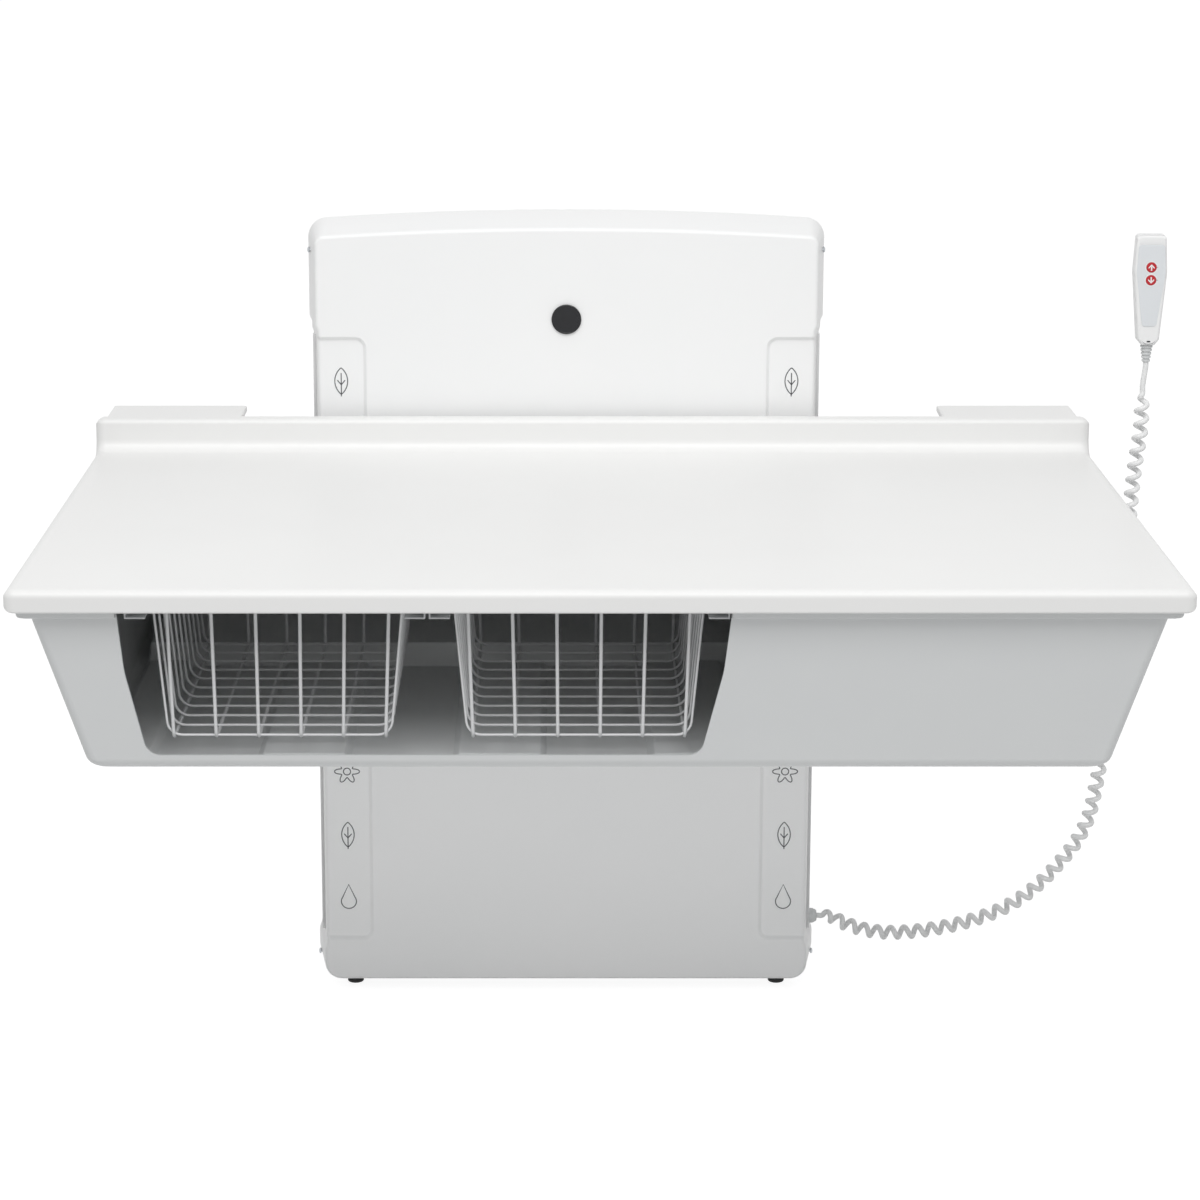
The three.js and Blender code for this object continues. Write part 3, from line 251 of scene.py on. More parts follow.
def linear(code):
    """An sRGB hex colour as linear red, green, blue and alpha."""
    values = [int(code[start:start + 2], 16) / 255 for start in (1, 3, 5)]
    return [v / 12.92 if v <= 0.04045 else ((v + 0.055) / 1.055) ** 2.4 for v in values] + [1]


def add_node(tree, kind, inputs=None, **settings):
    """One node with its settings, and with each input set to a value or linked to another node's output."""
    node = tree.nodes.new(kind)
    for name, value in settings.items():
        setattr(node, name, value)
    for name, value in (inputs or {}).items():
        if isinstance(value, bpy.types.NodeSocket):
            tree.links.new(value, node.inputs[name])
        else:
            node.inputs[name].default_value = value
    return node


def finish(name, colours, roughness, grain_mm, depth_mm, cloud_mm, IOR=1.5, Metallic=0.0):
    """A surface whose tone drifts between two near colours at cloud_mm, with a fine grain in its gloss."""
    material = bpy.data.materials.new(name)
    material.use_nodes = True
    tree = material.node_tree
    tree.nodes.clear()
    spread = 0.06  # how far the gloss varies over the grain
    place = add_node(tree, "ShaderNodeTexCoord").outputs["Object"]
    cloud = add_node(tree, "ShaderNodeTexNoise", {
        "Vector": place, "Scale": 1 / (cloud_mm * MM), "Detail": 3.0,
    })
    grain = add_node(tree, "ShaderNodeTexNoise", {
        "Vector": place, "Scale": 1 / (grain_mm * MM), "Detail": 2.0,
    })
    tone = add_node(tree, "ShaderNodeMixRGB", {
        "Fac": cloud.outputs["Fac"], "Color1": linear(colours[0]), "Color2": linear(colours[1]),
    })
    gloss = add_node(tree, "ShaderNodeMapRange", {
        "Value": grain.outputs["Fac"], "To Min": roughness - spread, "To Max": roughness + spread,
    })
    bump = add_node(tree, "ShaderNodeBump", {
        "Height": grain.outputs["Fac"], "Distance": depth_mm * MM, "Strength": 1.0,
    })
    surface_shader = add_node(tree, "ShaderNodeBsdfPrincipled", {
        "Base Color": tone.outputs["Color"], "Roughness": gloss.outputs["Result"],
        "Normal": bump.outputs["Normal"], "IOR": IOR, "Metallic": Metallic,
    })
    add_node(tree, "ShaderNodeOutputMaterial", {"Surface": surface_shader.outputs["BSDF"]})
    return material


finishes = {
    # An even white with a soft satin sheen and hardly any grain
    "white_top": finish("cast_mineral_acrylic_sanded", ("#f1f1f0", "#eeeeed"), 0.36, 2.5, 0.006, 180),
    # A clean white with a fine spark-eroded grain, drawn at 1.2 mm, coarser than real, so that it shows
    "white_moulding": finish("abs_injection_moulded", ("#fafafa", "#f7f8f8"), 0.42, 1.2, 0.012, 140, 1.53),
    # A satin pale grey with the slow ripples of hot-formed sheet
    "grey_moulding": finish("abs_sheet_vacuum_formed", ("#dcdede", "#d8dadb"), 0.45, 3.0, 0.015, 90, 1.53),
    # A light grey coat with the orange peel of melted powder, about 2 mm across
    "coated_steel": finish("steel_powder_coated", ("#c8cacb", "#c2c4c6"), 0.4, 2.0, 0.03, 60),
    # A smooth thick plastic coat that gives the wires a soft highlight
    "coated_wire": finish("steel_wire_plastic_dipped", ("#dfe0e1", "#dadbdc"), 0.34, 4.0, 0.02, 30),
    # A grey metal shine with a faint crystal bloom
    "zinc_steel": finish("steel_zinc_plated", ("#c3c6c9", "#b3b7bb"), 0.34, 1.5, 0.01, 8, Metallic=1.0),
    # A glossy black over the pebbled skin of a casting
    "black_enamel": finish("cast_iron_black_enamelled", ("#1d1e20", "#232427"), 0.35, 2.2, 0.05, 60),
    # A deep black with a soft reflection
    "black_plastic": finish("abs_black_polished", ("#1b1c1e", "#222326"), 0.28, 0.9, 0.006, 12, 1.4),
    # A matt, slightly chalky dark grey
    "black_rubber": finish("nitrile_rubber_moulded", ("#222324", "#2c2d2e"), 0.75, 1.0, 0.03, 10, 1.52),
    # A silky white that rounds off each turn of the curl
    "white_cord": finish("polyurethane_sheath_extruded", ("#f5f5f5", "#f1f2f2"), 0.38, 3.0, 0.01, 25),
    # A satin white, finer in grain than the cover
    "handset_plastic": finish("abs_satin_moulded", ("#f7f7f7", "#f4f5f5"), 0.4, 0.8, 0.006, 40, 1.53),
    # A cool matt grey that sets the panel off from the white body
    "keypad_grey": finish("polycarbonate_film_printed", ("#e6e9ec", "#e2e6e9"), 0.5, 0.7, 0.004, 40, 1.58),
    # A full red, the only colour on the object
    "red_button": finish("silicone_red_printed", ("#c41f2a", "#b81b26"), 0.42, 0.7, 0.004, 6),
    # A green lacquer over a woven board
    "circuit_board": finish("glass_epoxy_lacquered", ("#1f5a3a", "#266843"), 0.4, 0.6, 0.01, 9, 1.55),
}
# Thin grey lines that lie flat and dull on the cover
line_ink = finish("line_ink_screen_printed", ("#5d5f62", "#56585b"), 0.6, 0.8, 0.002, 6)
# Bright rings and arrows on the handset
white_print = finish("white_ink_screen_printed", ("#f6f7f7", "#f2f4f4"), 0.5, 0.8, 0.002, 6)


# Camera

camera = bpy.data.objects.new("camera", bpy.data.cameras.new("camera"))
scene.collection.objects.link(camera)
scene.camera = camera
camera.data.sensor_width = 36
camera.data.lens = 94.48
camera.data.shift_x = 0.0367
camera.data.shift_y = -0.12
camera.data.clip_end = 200
camera_pitch = 12.307  # degrees below the horizon
camera.location = (-0.0147, -4.4672, 1.1976)
camera.rotation_euler = (math.radians(90 - camera_pitch), 0, 0)


# Handset cord: a curly stretch from the lift's gland up to the straight lead below the handset

coil_route = [
    (0.374, 0.090), (0.392, 0.090), (0.414, 0.078), (0.448, 0.067), (0.485, 0.063), (0.529, 0.066),
    (0.570, 0.073), (0.607, 0.083), (0.645, 0.098), (0.678, 0.118), (0.706, 0.142), (0.733, 0.173),
    (0.755, 0.203), (0.770, 0.234), (0.778, 0.263), (0.782, 0.288), (0.786, 0.315), (0.795, 0.401),
    (0.805, 0.521), (0.813, 0.641), (0.820, 0.761), (0.827, 0.825), (0.828, 0.862), (0.828, 0.888),
]  # x and height above the floor, in metres
lead_route = [(0.828, 0.896), (0.831, 0.9207), (0.831, 0.9290)]
cord_out = 26
wire_diameter = 8
coil_radius = 7.5  # from the cord's route to the middle of the wire
coil_pitch = 20.4
turn_steps = 18


def through(points, steps=16):
    """A smooth curve through points in space."""
    padded = [2 * points[0] - points[1], *points, 2 * points[-1] - points[-2]]
    curve = []
    for a, b, c, d in zip(padded, padded[1:], padded[2:], padded[3:]):
        for step in range(steps):
            t = step / steps
            slope = (c - a) * t
            bend = (2 * a - 5 * b + 4 * c - d) * t ** 2
            twist = (3 * b - a - 3 * c + d) * t ** 3
            curve.append(0.5 * (2 * b + slope + bend + twist))
    return curve + [points[-1]]


def curly_path():
    """The wire's own line: a helix about the route, which winds up from the route at both ends."""
    floor = floor_up * MM
    route = through([Vector((x, -cord_out * MM, height + floor)) for x, height in coil_route + lead_route])
    lengths = [0.0]
    for a, b in zip(route, route[1:]):
        lengths.append(lengths[-1] + (b - a).length)
    lead_length = 42 * MM
    coil_end = lengths[-1] - lead_length
    wind_up = 1.2 * coil_pitch * MM
    step_length = coil_pitch * MM / turn_steps
    path = []
    side = Vector((0, -1, 0))
    segment = 0
    for step in range(int(lengths[-1] / step_length) + 1):
        distance = step * step_length
        while segment < len(route) - 2 and lengths[segment + 1] < distance:
            segment += 1
        share = (distance - lengths[segment]) / (lengths[segment + 1] - lengths[segment])
        point = route[segment].lerp(route[segment + 1], share)
        along = (route[segment + 1] - route[segment]).normalized()
        other = along.cross(side)
        open_low = smooth(min(1, distance / wind_up))
        open_high = smooth(min(1, max(0, (coil_end - distance) / wind_up)))
        radius = coil_radius * MM * open_low * open_high
        turn = 2 * math.pi * distance / (coil_pitch * MM)
        path.append(point + (side * math.cos(turn) + other * math.sin(turn)) * radius)
    if (route[-1] - path[-1]).length < step_length:
        path.pop()
    path.append(route[-1])
    return path


def handset_cord():
    path = curly_path()
    bm = bmesh.new()
    tube(bm, path, wire_diameter / 2 * MM, 10)
    cord = finish_mesh("curly_cord", bm)
    cord.data.materials.append(finishes["white_cord"])
    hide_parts("handset_cord", "cord_lead")
    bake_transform(cord)


handset_cord()


# Tabletop and the plates behind it

def tabletop():
    upstand_front = board_rear + 25
    bm = bmesh.new()
    bar_along_x(bm, [
        (board_rear, board_under, 1),
        (board_front, board_under, 3),
        (board_front, surface, 10),
        (upstand_front, surface, 16),
        (upstand_front, upstand_top, 7),
        (board_rear, upstand_top, 3),
    ], board_left, board_right, end_reach=14, end_inset=10)
    obj = finish_mesh("moulded_tabletop", bm)
    even_normals(obj)
    dress(obj, "table", "white_top", "tabletop")


def gap_plate(side):
    left, right, rear, front, low, high = span("gap_plate_" + side)
    thickness = 10
    bm = bmesh.new()
    bar_along_x(bm, [
        (rear, high - thickness, 2.5),
        (front - thickness, high - thickness, 4),
        (front - thickness, low, 1.5),
        (front, low, 1.5),
        (front, high, 1.5),
        (rear, high, 3),
    ], left, right, end_reach=3, end_inset=3, steps=4)
    obj = finish_mesh("wall_gap_plate_" + side, bm)
    even_normals(obj)
    dress(obj, "table", "white_top", "gap_plate_" + side)


tabletop()
for side_name in ("left", "right"):
    gap_plate(side_name)


# Lift cover

cover_half = 354
cover_bottom = floor_up + 14
cover_shoulder = floor_up + 1119
cover_arch = 12
cover_depth = 90
cover_draft = 15
cover_wall = 3
cover_fillet = 5
upper_rounding = 14
lower_rounding = 24
track_low = floor_up + 78
track_high = floor_up + 974
track_inner = 285
track_depth = 6
track_rounding = 14
track_edge = 3.2  # half the width of the sloped edge around a track
side_step = 3.5
ogee_height = 13
slot_front = 62
edge_steps = 6


def arch(x):
    """The height of the cover's upper edge."""
    return cover_shoulder + cover_arch * (1 - (x / cover_half) ** 2)


def face_out(share):
    """How far the front face stands out, where a track's depth counts by share."""
    return cover_depth - track_depth * share


def cover_outline():
    """The front face's outline from lower right round to lower left, as (x, up, share of track depth)."""
    right = []
    for sine, cosine in quarter(edge_steps * 2):
        rise = lower_rounding * (1 - cosine)
        right.append((cover_half - lower_rounding * (1 - sine), cover_bottom + rise, 0))
    steps = [step / edge_steps for step in range(edge_steps + 1)]
    ogee_low = track_low - 2 * track_edge - ogee_height
    ogee_high = track_high + 2 * track_edge
    right += [(cover_half - side_step * smooth(t), ogee_low + ogee_height * t, 0) for t in steps]
    narrow = cover_half - side_step
    right += [(narrow, track_low + track_edge * (2 * t - 1), smooth(t)) for t in steps]
    right += [(narrow, track_high + track_edge * (2 * t - 1), 1 - smooth(t)) for t in steps]
    right += [(cover_half - side_step * (1 - smooth(t)), ogee_high + ogee_height * t, 0) for t in steps]
    arch_end = cover_half - upper_rounding
    for sine, cosine in quarter(edge_steps * 2):
        fall = upper_rounding * (1 - sine)
        right.append((arch_end + upper_rounding * cosine, arch(arch_end) - fall, 0))
    crown_steps = 24
    crown = [arch_end * (1 - 2 * step / crown_steps) for step in range(1, crown_steps)]
    return right + [(x, arch(x), 0) for x in crown] + [(-x, up, share) for x, up, share in reversed(right)]


def front_cover():
    outline = cover_outline()
    count = len(outline)
    normals = []
    for index, _ in enumerate(outline):
        before, after = outline[index - 1], outline[(index + 1) % count]
        along = Vector((after[0] - before[0], after[1] - before[1])).normalized()
        normals.append(Vector((along.y, -along.x)))
    bm = bmesh.new()

    def ring(outs, inset):
        row = []
        for (x, up, _), normal, out in zip(outline, normals, outs):
            grow = cover_draft * (1 - out / cover_depth)
            lift = normal.y * grow if normal.y > 0 else 0
            row.append(bm.verts.new(at(x + normal.x * (grow - inset), out, up + lift - normal.y * inset)))
        return row

    shares = [share for _, _, share in outline]
    wall_gap = 1
    rows = [ring([wall_gap + (slot_front - wall_gap) * smooth(share) for share in shares], 0)]
    for sine, cosine in quarter(edge_steps):
        outs = [face_out(share) - cover_fillet * (1 - sine) for share in shares]
        rows.append(ring(outs, cover_fillet * (1 - cosine)))
    for number, (low, high) in enumerate(zip(rows, rows[1:])):
        open_end = 1 if number == 0 else 0  # the cover is open below
        for index in range(count - open_end):
            following = (index + 1) % count
            bm.faces.new((low[index], low[following], high[following], high[index]))

    rim = rows[-1]
    lower_first = 2 * edge_steps + 1 + edge_steps + 1
    upper_first = lower_first + edge_steps + 1
    levels = range(edge_steps + 1)
    boundary = {}
    for side in (1, -1):
        lines = []
        for level in levels:
            t = level / edge_steps
            off = track_edge * (1 - 2 * t)
            out = face_out(smooth(t))
            inner = track_inner - off
            arcs = []
            for up_sign, line in ((1, track_high + off), (-1, track_low - off)):
                radius = track_rounding + off
                turns = quarter(edge_steps)
                for sine, cosine in (turns if up_sign > 0 else reversed(turns)):
                    arcs.append((inner + radius * (1 - sine), line - up_sign * radius * (1 - cosine)))
            middle = [bm.verts.new(at(side * x, out, up)) for x, up in arcs]
            on_side = rim if side > 0 else list(reversed(rim))
            upper = on_side[upper_first + edge_steps - level]
            lower = on_side[lower_first + level]
            lines.append([upper, *middle, lower])
        for outer, inner_line in zip(lines, lines[1:]):
            for index in range(len(outer) - 1):
                bm.faces.new((outer[index], outer[index + 1], inner_line[index + 1], inner_line[index]))
        bm.faces.new(lines[-1])
        boundary[side] = lines[0]
    lower_cap = [rim[index] for index in range(lower_first)]
    crown = rim[upper_first + edge_steps + 1:count - 1 - upper_first - edge_steps]
    left_cap = [rim[index] for index in range(count - lower_first, count)]
    bm.faces.new([*lower_cap, *reversed(boundary[1]), *crown, *boundary[-1], *left_cap])
    bmesh.ops.recalc_face_normals(bm, faces=bm.faces)
    widest = max(bm.faces, key=bmesh.types.BMFace.calc_area)
    if widest.normal.y > 0:
        bmesh.ops.reverse_faces(bm, faces=bm.faces)
    obj = finish_mesh("moulded_front_cover", bm, outward=False)
    add_modifier(obj, "SOLIDIFY", thickness=cover_wall * MM, offset=-1, use_even_offset=True)
    even_normals(obj)
    dress(obj, "lift", "white_moulding", "front_cover")


front_cover()


# Line pictures printed along the tracks, one at each step of height

def circle(radius, centre=(0, 0), first=0, last=360, steps=32):
    turns = [math.radians(first + (last - first) * step / steps) for step in range(steps + 1)]
    return [(centre[0] + radius * math.cos(turn), centre[1] + radius * math.sin(turn)) for turn in turns]


def sun():
    rays = [[(9.5 * math.cos(a), 9.5 * math.sin(a)), (15 * math.cos(a), 15 * math.sin(a))]
            for a in (math.radians(45 * step) for step in range(8))]
    return [circle(6.5), *rays]


def cloud():
    bumps = circle(6, (10, -2), -90, 70, 12)
    bumps += circle(8, (1, 4), 35, 150, 12)
    bumps += circle(6.5, (-9, -1.5), 95, 270, 14)
    return [bumps + [bumps[0]]]


def star():
    points = []
    for step in range(11):
        radius = 14 if step % 2 == 0 else 6
        turn = math.radians(90 + 36 * step)
        points.append((radius * math.cos(turn), radius * math.sin(turn)))
    return [points]


def moon():
    outer = circle(13, (0, 0), 60, 300, 28)
    inner = circle(11.5, (6.5, 0), 281.9, 78.1, 24)
    return [outer + inner + [outer[0]]]


def flower():
    petals = []
    for step in range(121):
        turn = math.radians(3 * step)
        radius = 10.5 + 3.5 * math.cos(6 * turn)
        petals.append((radius * math.cos(turn), radius * math.sin(turn)))
    return [petals, circle(4)]


def leaf():
    right = circle(19, (-12, 0), -50.8, 50.8, 20)
    left = circle(19, (12, 0), 129.2, 230.8, 20)
    veins = [[(0, -17), (0, 9)], [(0, -4), (4.2, 1)], [(0, -4), (-4.2, 1)]]
    return [right, left, *veins]


def drop():
    bowl = circle(8.5, (0, -5), -215, 35, 28)
    return [[(0, 15), *bowl, (0, 15)]]


def ribbon(bm, points, line_width, low, high, middle):
    """A printed line: a flat strip along points in the picture's plane."""
    x0, up0 = middle
    closed = points[0] == points[-1]
    flat = [Vector(point) for point in points]
    rings = []
    for index, point in enumerate(flat):
        before = flat[index - 1] if index > 0 else (flat[-2] if closed else point)
        after = flat[index + 1] if index < len(flat) - 1 else (flat[1] if closed else point)
        along = (after - before).normalized()
        side = Vector((-along.y, along.x)) * (line_width / 2)
        section = [(point + side, low), (point + side, high), (point - side, high), (point - side, low)]
        rings.append([at(x0 + place.x, out, up0 + place.y) for place, out in section])
    loft(bm, rings)


def track_pictures():
    pictures = [drop, leaf, flower, moon, star, cloud, sun]
    first_up, last_up, count = track_low + 62, track_high - 62, 9
    ground = cover_depth - track_depth
    scale = 1.3
    bm = bmesh.new()
    for side in (-1, 1):
        for step in range(count):
            up = first_up + (last_up - first_up) * step / (count - 1)
            for line in pictures[step % len(pictures)]():
                enlarged = [(scale * x, scale * y) for x, y in line]
                ribbon(bm, enlarged, 1.5, ground - 0.1, ground + 0.12, (side * 319, up))
    obj = finish_mesh("track_line_pictures", bm)
    obj.data.materials.append(line_ink)
    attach(obj, "lift")


track_pictures()


# Small pieces on the lift

def badge_cap():
    left, right, near, far, low, high = span("badge_cap")
    radius = (right - left) / 2
    bm = bmesh.new()
    turned(bm, [
        (radius - 0.6, 0), (radius, 0.4), (radius, 2.4), (radius - 0.3, 3.0), (radius - 1.0, 3.4),
        (radius - 1.8, 3.5), (radius - 2.3, 3.1), (radius - 2.8, 3.1), (radius * 0.6, 3.3),
        (radius * 0.25, 3.4),
    ], ((left + right) / 2, near, (low + high) / 2), "out", 64)
    obj = finish_mesh("black_badge_cap", bm)
    even_normals(obj)
    dress(obj, "lift", "black_plastic", "badge_cap")


def foot(side):
    left, right, near, far, low, high = span("foot_" + side)
    x, out = (left + right) / 2, (near + far) / 2
    bm = bmesh.new()
    turned(bm, [
        (10.5, 0), (11.4, 0.3), (12, 1.2), (12, 4), (11.2, 4.6), (11.2, 5.4), (12, 6), (12, 8.6),
        (11.4, 10), (9, 11), (7, 11.2),
    ], (x, out, low), "up", 40)
    turned(bm, [(6.6, 11.3), (7, 11.8), (7, 23), (6.6, 23.6)], (x, out, low), "up", 6)
    turned(bm, [(4, 23.6), (4, 32), (3.2, 33)], (x, out, low), "up", 20)
    obj = finish_mesh("levelling_foot_" + side, bm)
    dress(obj, "lift", "black_rubber", "foot_" + side)


def cover_screw(level, side):
    node = f"cover_screw_{level}_{side}"
    left, right, near, far, low, high = span(node)
    head = 3
    seat = right - head if side == "right" else left + head
    bm = bmesh.new()
    place = (seat, (near + far) / 2, (low + high) / 2)
    turned(bm, [
        (2, -20), (2, 0), (4.2, 0), (4.5, 0.4), (4.3, 1.4), (3.4, 2.5), (2.2, 3), (1.6, 3), (1.5, 1.2),
    ], place, side, 24)
    obj = finish_mesh(f"cover_screw_head_{level}_{side}", bm)
    dress(obj, "lift", "zinc_steel", node)


badge_cap()
for side_name in ("left", "right"):
    foot(side_name)
    for level_name in ("lower", "upper"):
        cover_screw(level_name, side_name)


# Storage tray

tray_top = span("under_tray")[5] - 9.7  # the flange's lower face
tray_under = span("under_tray")[4]
tray_left = board_left + 26
tray_right = board_right - 26
tray_front = board_front - 26
tray_back = span("under_tray")[2]
side_taper = 60
front_taper = 34
rear_taper = 20
tray_wall = 4
tray_fillet = 14
tray_floor = tray_under + tray_wall
step_rear_inset = 42


def tray_ring(up, inset, corner):
    share = (tray_top - min(up, tray_top)) / (tray_top - tray_under)
    corners = rectangle(
        tray_left + side_taper * share + inset, tray_right - side_taper * share - inset,
        tray_back + rear_taper * share + inset, tray_front - front_taper * share - inset, corner,
    )
    return [at(x, out, up) for x, out in rounded_loop(corners)]


def flange_ring(up, inset):
    corners = rectangle(
        board_left + 12 + inset, board_right - 12 - inset, tray_back + inset, board_front - 12 - inset, 9,
    )
    return [at(x, out, up) for x, out in rounded_loop(corners)]


def tray_opening():
    low = tray_under + 19
    high = tray_top + 20
    outline = rounded_loop([
        (-505, low, 20), (159, low, 20), (185, tray_under + 128, 160), (195, high, 0),
        (-535, high, 0), (-528, tray_under + 128, 160),
    ], steps=10)
    bm = bmesh.new()
    loft(bm, [[at(x, out, up) for x, up in outline] for out in (tray_front - 62, board_front + 5)])
    return finish_mesh("opening_cutter", bm)


def block_cutter(left, right, near, far, low, high):
    bm = bmesh.new()
    loft(bm, [[at(x, out, up) for x, out in ((left, near), (right, near), (right, far), (left, far))]
              for up in (low, high)])
    return finish_mesh("block_cutter", bm)


def floor_bands(bm):
    """The raised bands that stiffen the tray's floor, and the step along its rear."""
    band_front = tray_front - front_taper - 28
    step_front = 405
    ends = tray_left + side_taper + 22, tray_right - side_taper - 22
    for index in range(5):
        x = -320 + (index - 1) * 237
        left = max(x - 48, ends[0])
        rings = []
        for grow, rise in [(10, -0.5), (8, 0.4), (2, 7), (0.6, 7.8), (-1.5, 8)]:
            outline = rectangle(left - grow, x + 48 + grow, step_front - 3, band_front + grow, 6)
            rings.append([at(a, b, tray_floor + rise) for a, b in rounded_loop(outline)])
        loft(bm, rings)
    hollow = [(-4, 28), (0, 27), (2, -tray_wall)]  # the step is formed sheet, open below
    step = hollow + [(6, -tray_wall), (5, 0.6), (1.5, 29), (0.5, 31.4), (-1.5, 32)]
    rear = tray_back + step_rear_inset
    rings = []
    for grow, rise in step:
        outline = rectangle(ends[0] - grow, ends[1] + grow, rear - grow, step_front + grow, 3)
        rings.append([at(a, b, tray_floor + rise) for a, b in rounded_loop(outline)])
    loft(bm, rings)


def storage_tray():
    rings = []
    for sine, cosine in quarter(6):
        rings.append(tray_ring(tray_under + tray_fillet * (1 - cosine), tray_fillet * (1 - sine), 14))
    rings.append(tray_ring(tray_top - 1, 0, 12))
    rings.append(tray_ring(tray_top, -1, 12))
    flange_top = tray_top + 9.7
    rings += [flange_ring(tray_top, 4), flange_ring(tray_top + 1.2, 1.2), flange_ring(tray_top + 4, 0)]
    rings += [flange_ring(flange_top - 0.6, 0), flange_ring(flange_top, 0.6)]
    rings.append(tray_ring(flange_top, tray_wall, 9))
    inner_fillet = 10
    for sine, cosine in reversed(quarter(5)):
        rise = inner_fillet * (1 - cosine)
        rings.append(tray_ring(tray_floor + rise, tray_wall + inner_fillet * (1 - sine), 10))
    bm = bmesh.new()
    loft(bm, rings)
    obj = finish_mesh("formed_storage_tray", bm)
    rear_cut = block_cutter(board_left, board_right, 0, tray_back + 20, surface - 92, surface)
    step_cut = block_cutter(
        tray_left + side_taper + 18, tray_right - side_taper - 18, tray_back + step_rear_inset - 4, 409,
        tray_under - 5, tray_floor + 3,
    )
    cut_away(obj, [tray_opening(), rear_cut, step_cut])
    bm = bmesh.new()
    bm.from_mesh(obj.data)
    floor_bands(bm)
    bm.to_mesh(obj.data)
    bm.free()
    obj.data.shade_smooth()
    obj.data.set_sharp_from_angle(angle=math.radians(42))
    broken_edges(obj, 0.9, 50)
    even_normals(obj)
    dress(obj, "table", "grey_moulding", "under_tray")


storage_tray()


# Wire baskets

basket_front = board_front - 70
cross_count = 11
cross_pitch = 40
basket_back = basket_front - cross_pitch * (cross_count - 1) - 10
basket_bottom = surface - 198
long_count = 6
long_pitch = 51
long_splay = 2.2


def wire_basket(side):
    node = "basket_" + side
    left, right, near, far, low, high = span(node)
    middle = (left + right) / 2
    rim_wire, end_wire, cross_wire, long_wire = 5.6, 5.0, 3.2, 4.4
    rim = span("basket_rail_%s_left" % side)[4] + 2 + seat_gap + rim_wire / 2
    rim_half, top_half, bottom_half = 165.5, 149, 134
    bm = bmesh.new()
    first_cross = basket_front - (cross_wire + long_wire) / 2 + 1
    for index in range(cross_count):
        out = first_cross - index * cross_pitch
        corners = [
            (-rim_half, rim, 0), (-top_half, rim, 7), (-bottom_half, basket_bottom, 18),
            (bottom_half, basket_bottom, 18), (top_half, rim, 7), (rim_half, rim, 0),
        ]
        path = bent([(at(middle + x, out, up), rounding * MM) for x, up, rounding in corners], 6)
        tube(bm, path, cross_wire / 2 * MM)
    bottom = basket_bottom - (cross_wire + long_wire) / 2 + 1
    for index in range(long_count):
        across = index - (long_count - 1) / 2
        foot_x, top_x = across * long_pitch, across * (long_pitch + long_splay)
        path = bent([
            (at(middle + top_x, basket_front, rim + 2), 0),
            (at(middle + foot_x, basket_front, bottom), 9 * MM),
            (at(middle + foot_x, basket_back, bottom), 9 * MM),
            (at(middle + top_x, basket_back, rim + 2), 0),
        ], 6)
        tube(bm, path, long_wire / 2 * MM, 12)
    frame_path = rounded_loop(rectangle(-rim_half, rim_half, basket_back, basket_front, 8))
    ring = [at(middle + x, out, rim) for x, out in frame_path]
    tube(bm, ring + ring[:1], end_wire / 2 * MM, 12)
    obj = finish_mesh("wire_basket_" + side, bm)
    dress(obj, side + "_basket", "coated_wire", node)


for side_name in ("left", "right"):
    wire_basket(side_name)


# Handset

handset_x = (span("handset_back_shell")[0] + span("handset_back_shell")[1]) / 2
handset_low = span("handset_front_shell")[4]
handset_back = 15
handset_front = 41
handset_face = handset_front - 0.5  # the body's own face, around the keypad
handset_edge = 4.5
parting = 27


def handset_corners(inset=0.0):
    foot, widest, top = 15.5 - inset, 23.5 - inset, 20.5 - inset
    low, high = handset_low + inset, handset_low + 159 - inset
    return [
        (-9, low, 4), (9, low, 4), (foot, low + 8, 6), (widest, handset_low + 105, 60),
        (top, high, 6), (-top, high, 6), (-widest, handset_low + 105, 60), (-foot, low + 8, 6),
    ]


def handset_ring(out, inset, tilt=0.0):
    """One ring of the handset's body; tilt sinks its upper end, where the face slopes back."""
    slope_from = handset_low + 146
    ring = []
    for x, up in rounded_loop(handset_corners(), inset, 8):
        back = tilt * max(0, up - slope_from)
        ring.append(at(handset_x + x, out - back, up))
    return ring


def handset_shell(name, node, levels, tilts):
    bm = bmesh.new()
    loft(bm, [handset_ring(out, inset, tilt) for (out, inset), tilt in zip(levels, tilts)])
    obj = finish_mesh(name, bm)
    even_normals(obj)
    dress(obj, "handset", "handset_plastic", node)


def handset_shells():
    edge = handset_edge
    face = handset_face
    front = [(parting + 0.35, 0.5), (parting + 0.7, 0)]
    front += [(face - edge * (1 - sine), edge * (1 - cosine)) for sine, cosine in quarter(6)]
    tilts = [0, 0] + [0.45 * sine for sine, cosine in quarter(6)]
    handset_shell("handset_front_moulding", "handset_front_shell", front, tilts)
    back = []
    for sine, cosine in reversed(quarter(6)):
        back.append((handset_back + edge * (1 - sine), edge * (1 - cosine)))
    back += [(parting - 0.4, 0), (parting, 0.5)]
    handset_shell("handset_back_moulding", "handset_back_shell", back, [0] * len(back))


def handset_tongue():
    """The hook on the handset's back that hangs in the holder's pocket."""
    low = handset_low + 94.8
    bm = bmesh.new()
    bar_along_x(bm, [
        (3.4, low, 1), (7.4, low, 1), (7.4, low + 18, 2), (15.4, low + 18, 0.5), (15.4, low + 23.7, 0.5),
        (3.4, low + 23.7, 3),
    ], handset_x - 10, handset_x + 10, end_reach=0.6, end_inset=0.6, steps=3)
    obj = finish_mesh("handset_hook", bm)
    dress(obj, "handset", "handset_plastic")


def keypad_corners(low, high, foot, widest, top):
    return [
        (-foot, low, 4), (foot, low, 4), (widest, handset_low + 105, 60),
        (top, high, 4), (-top, high, 4), (-widest, handset_low + 105, 60),
    ]


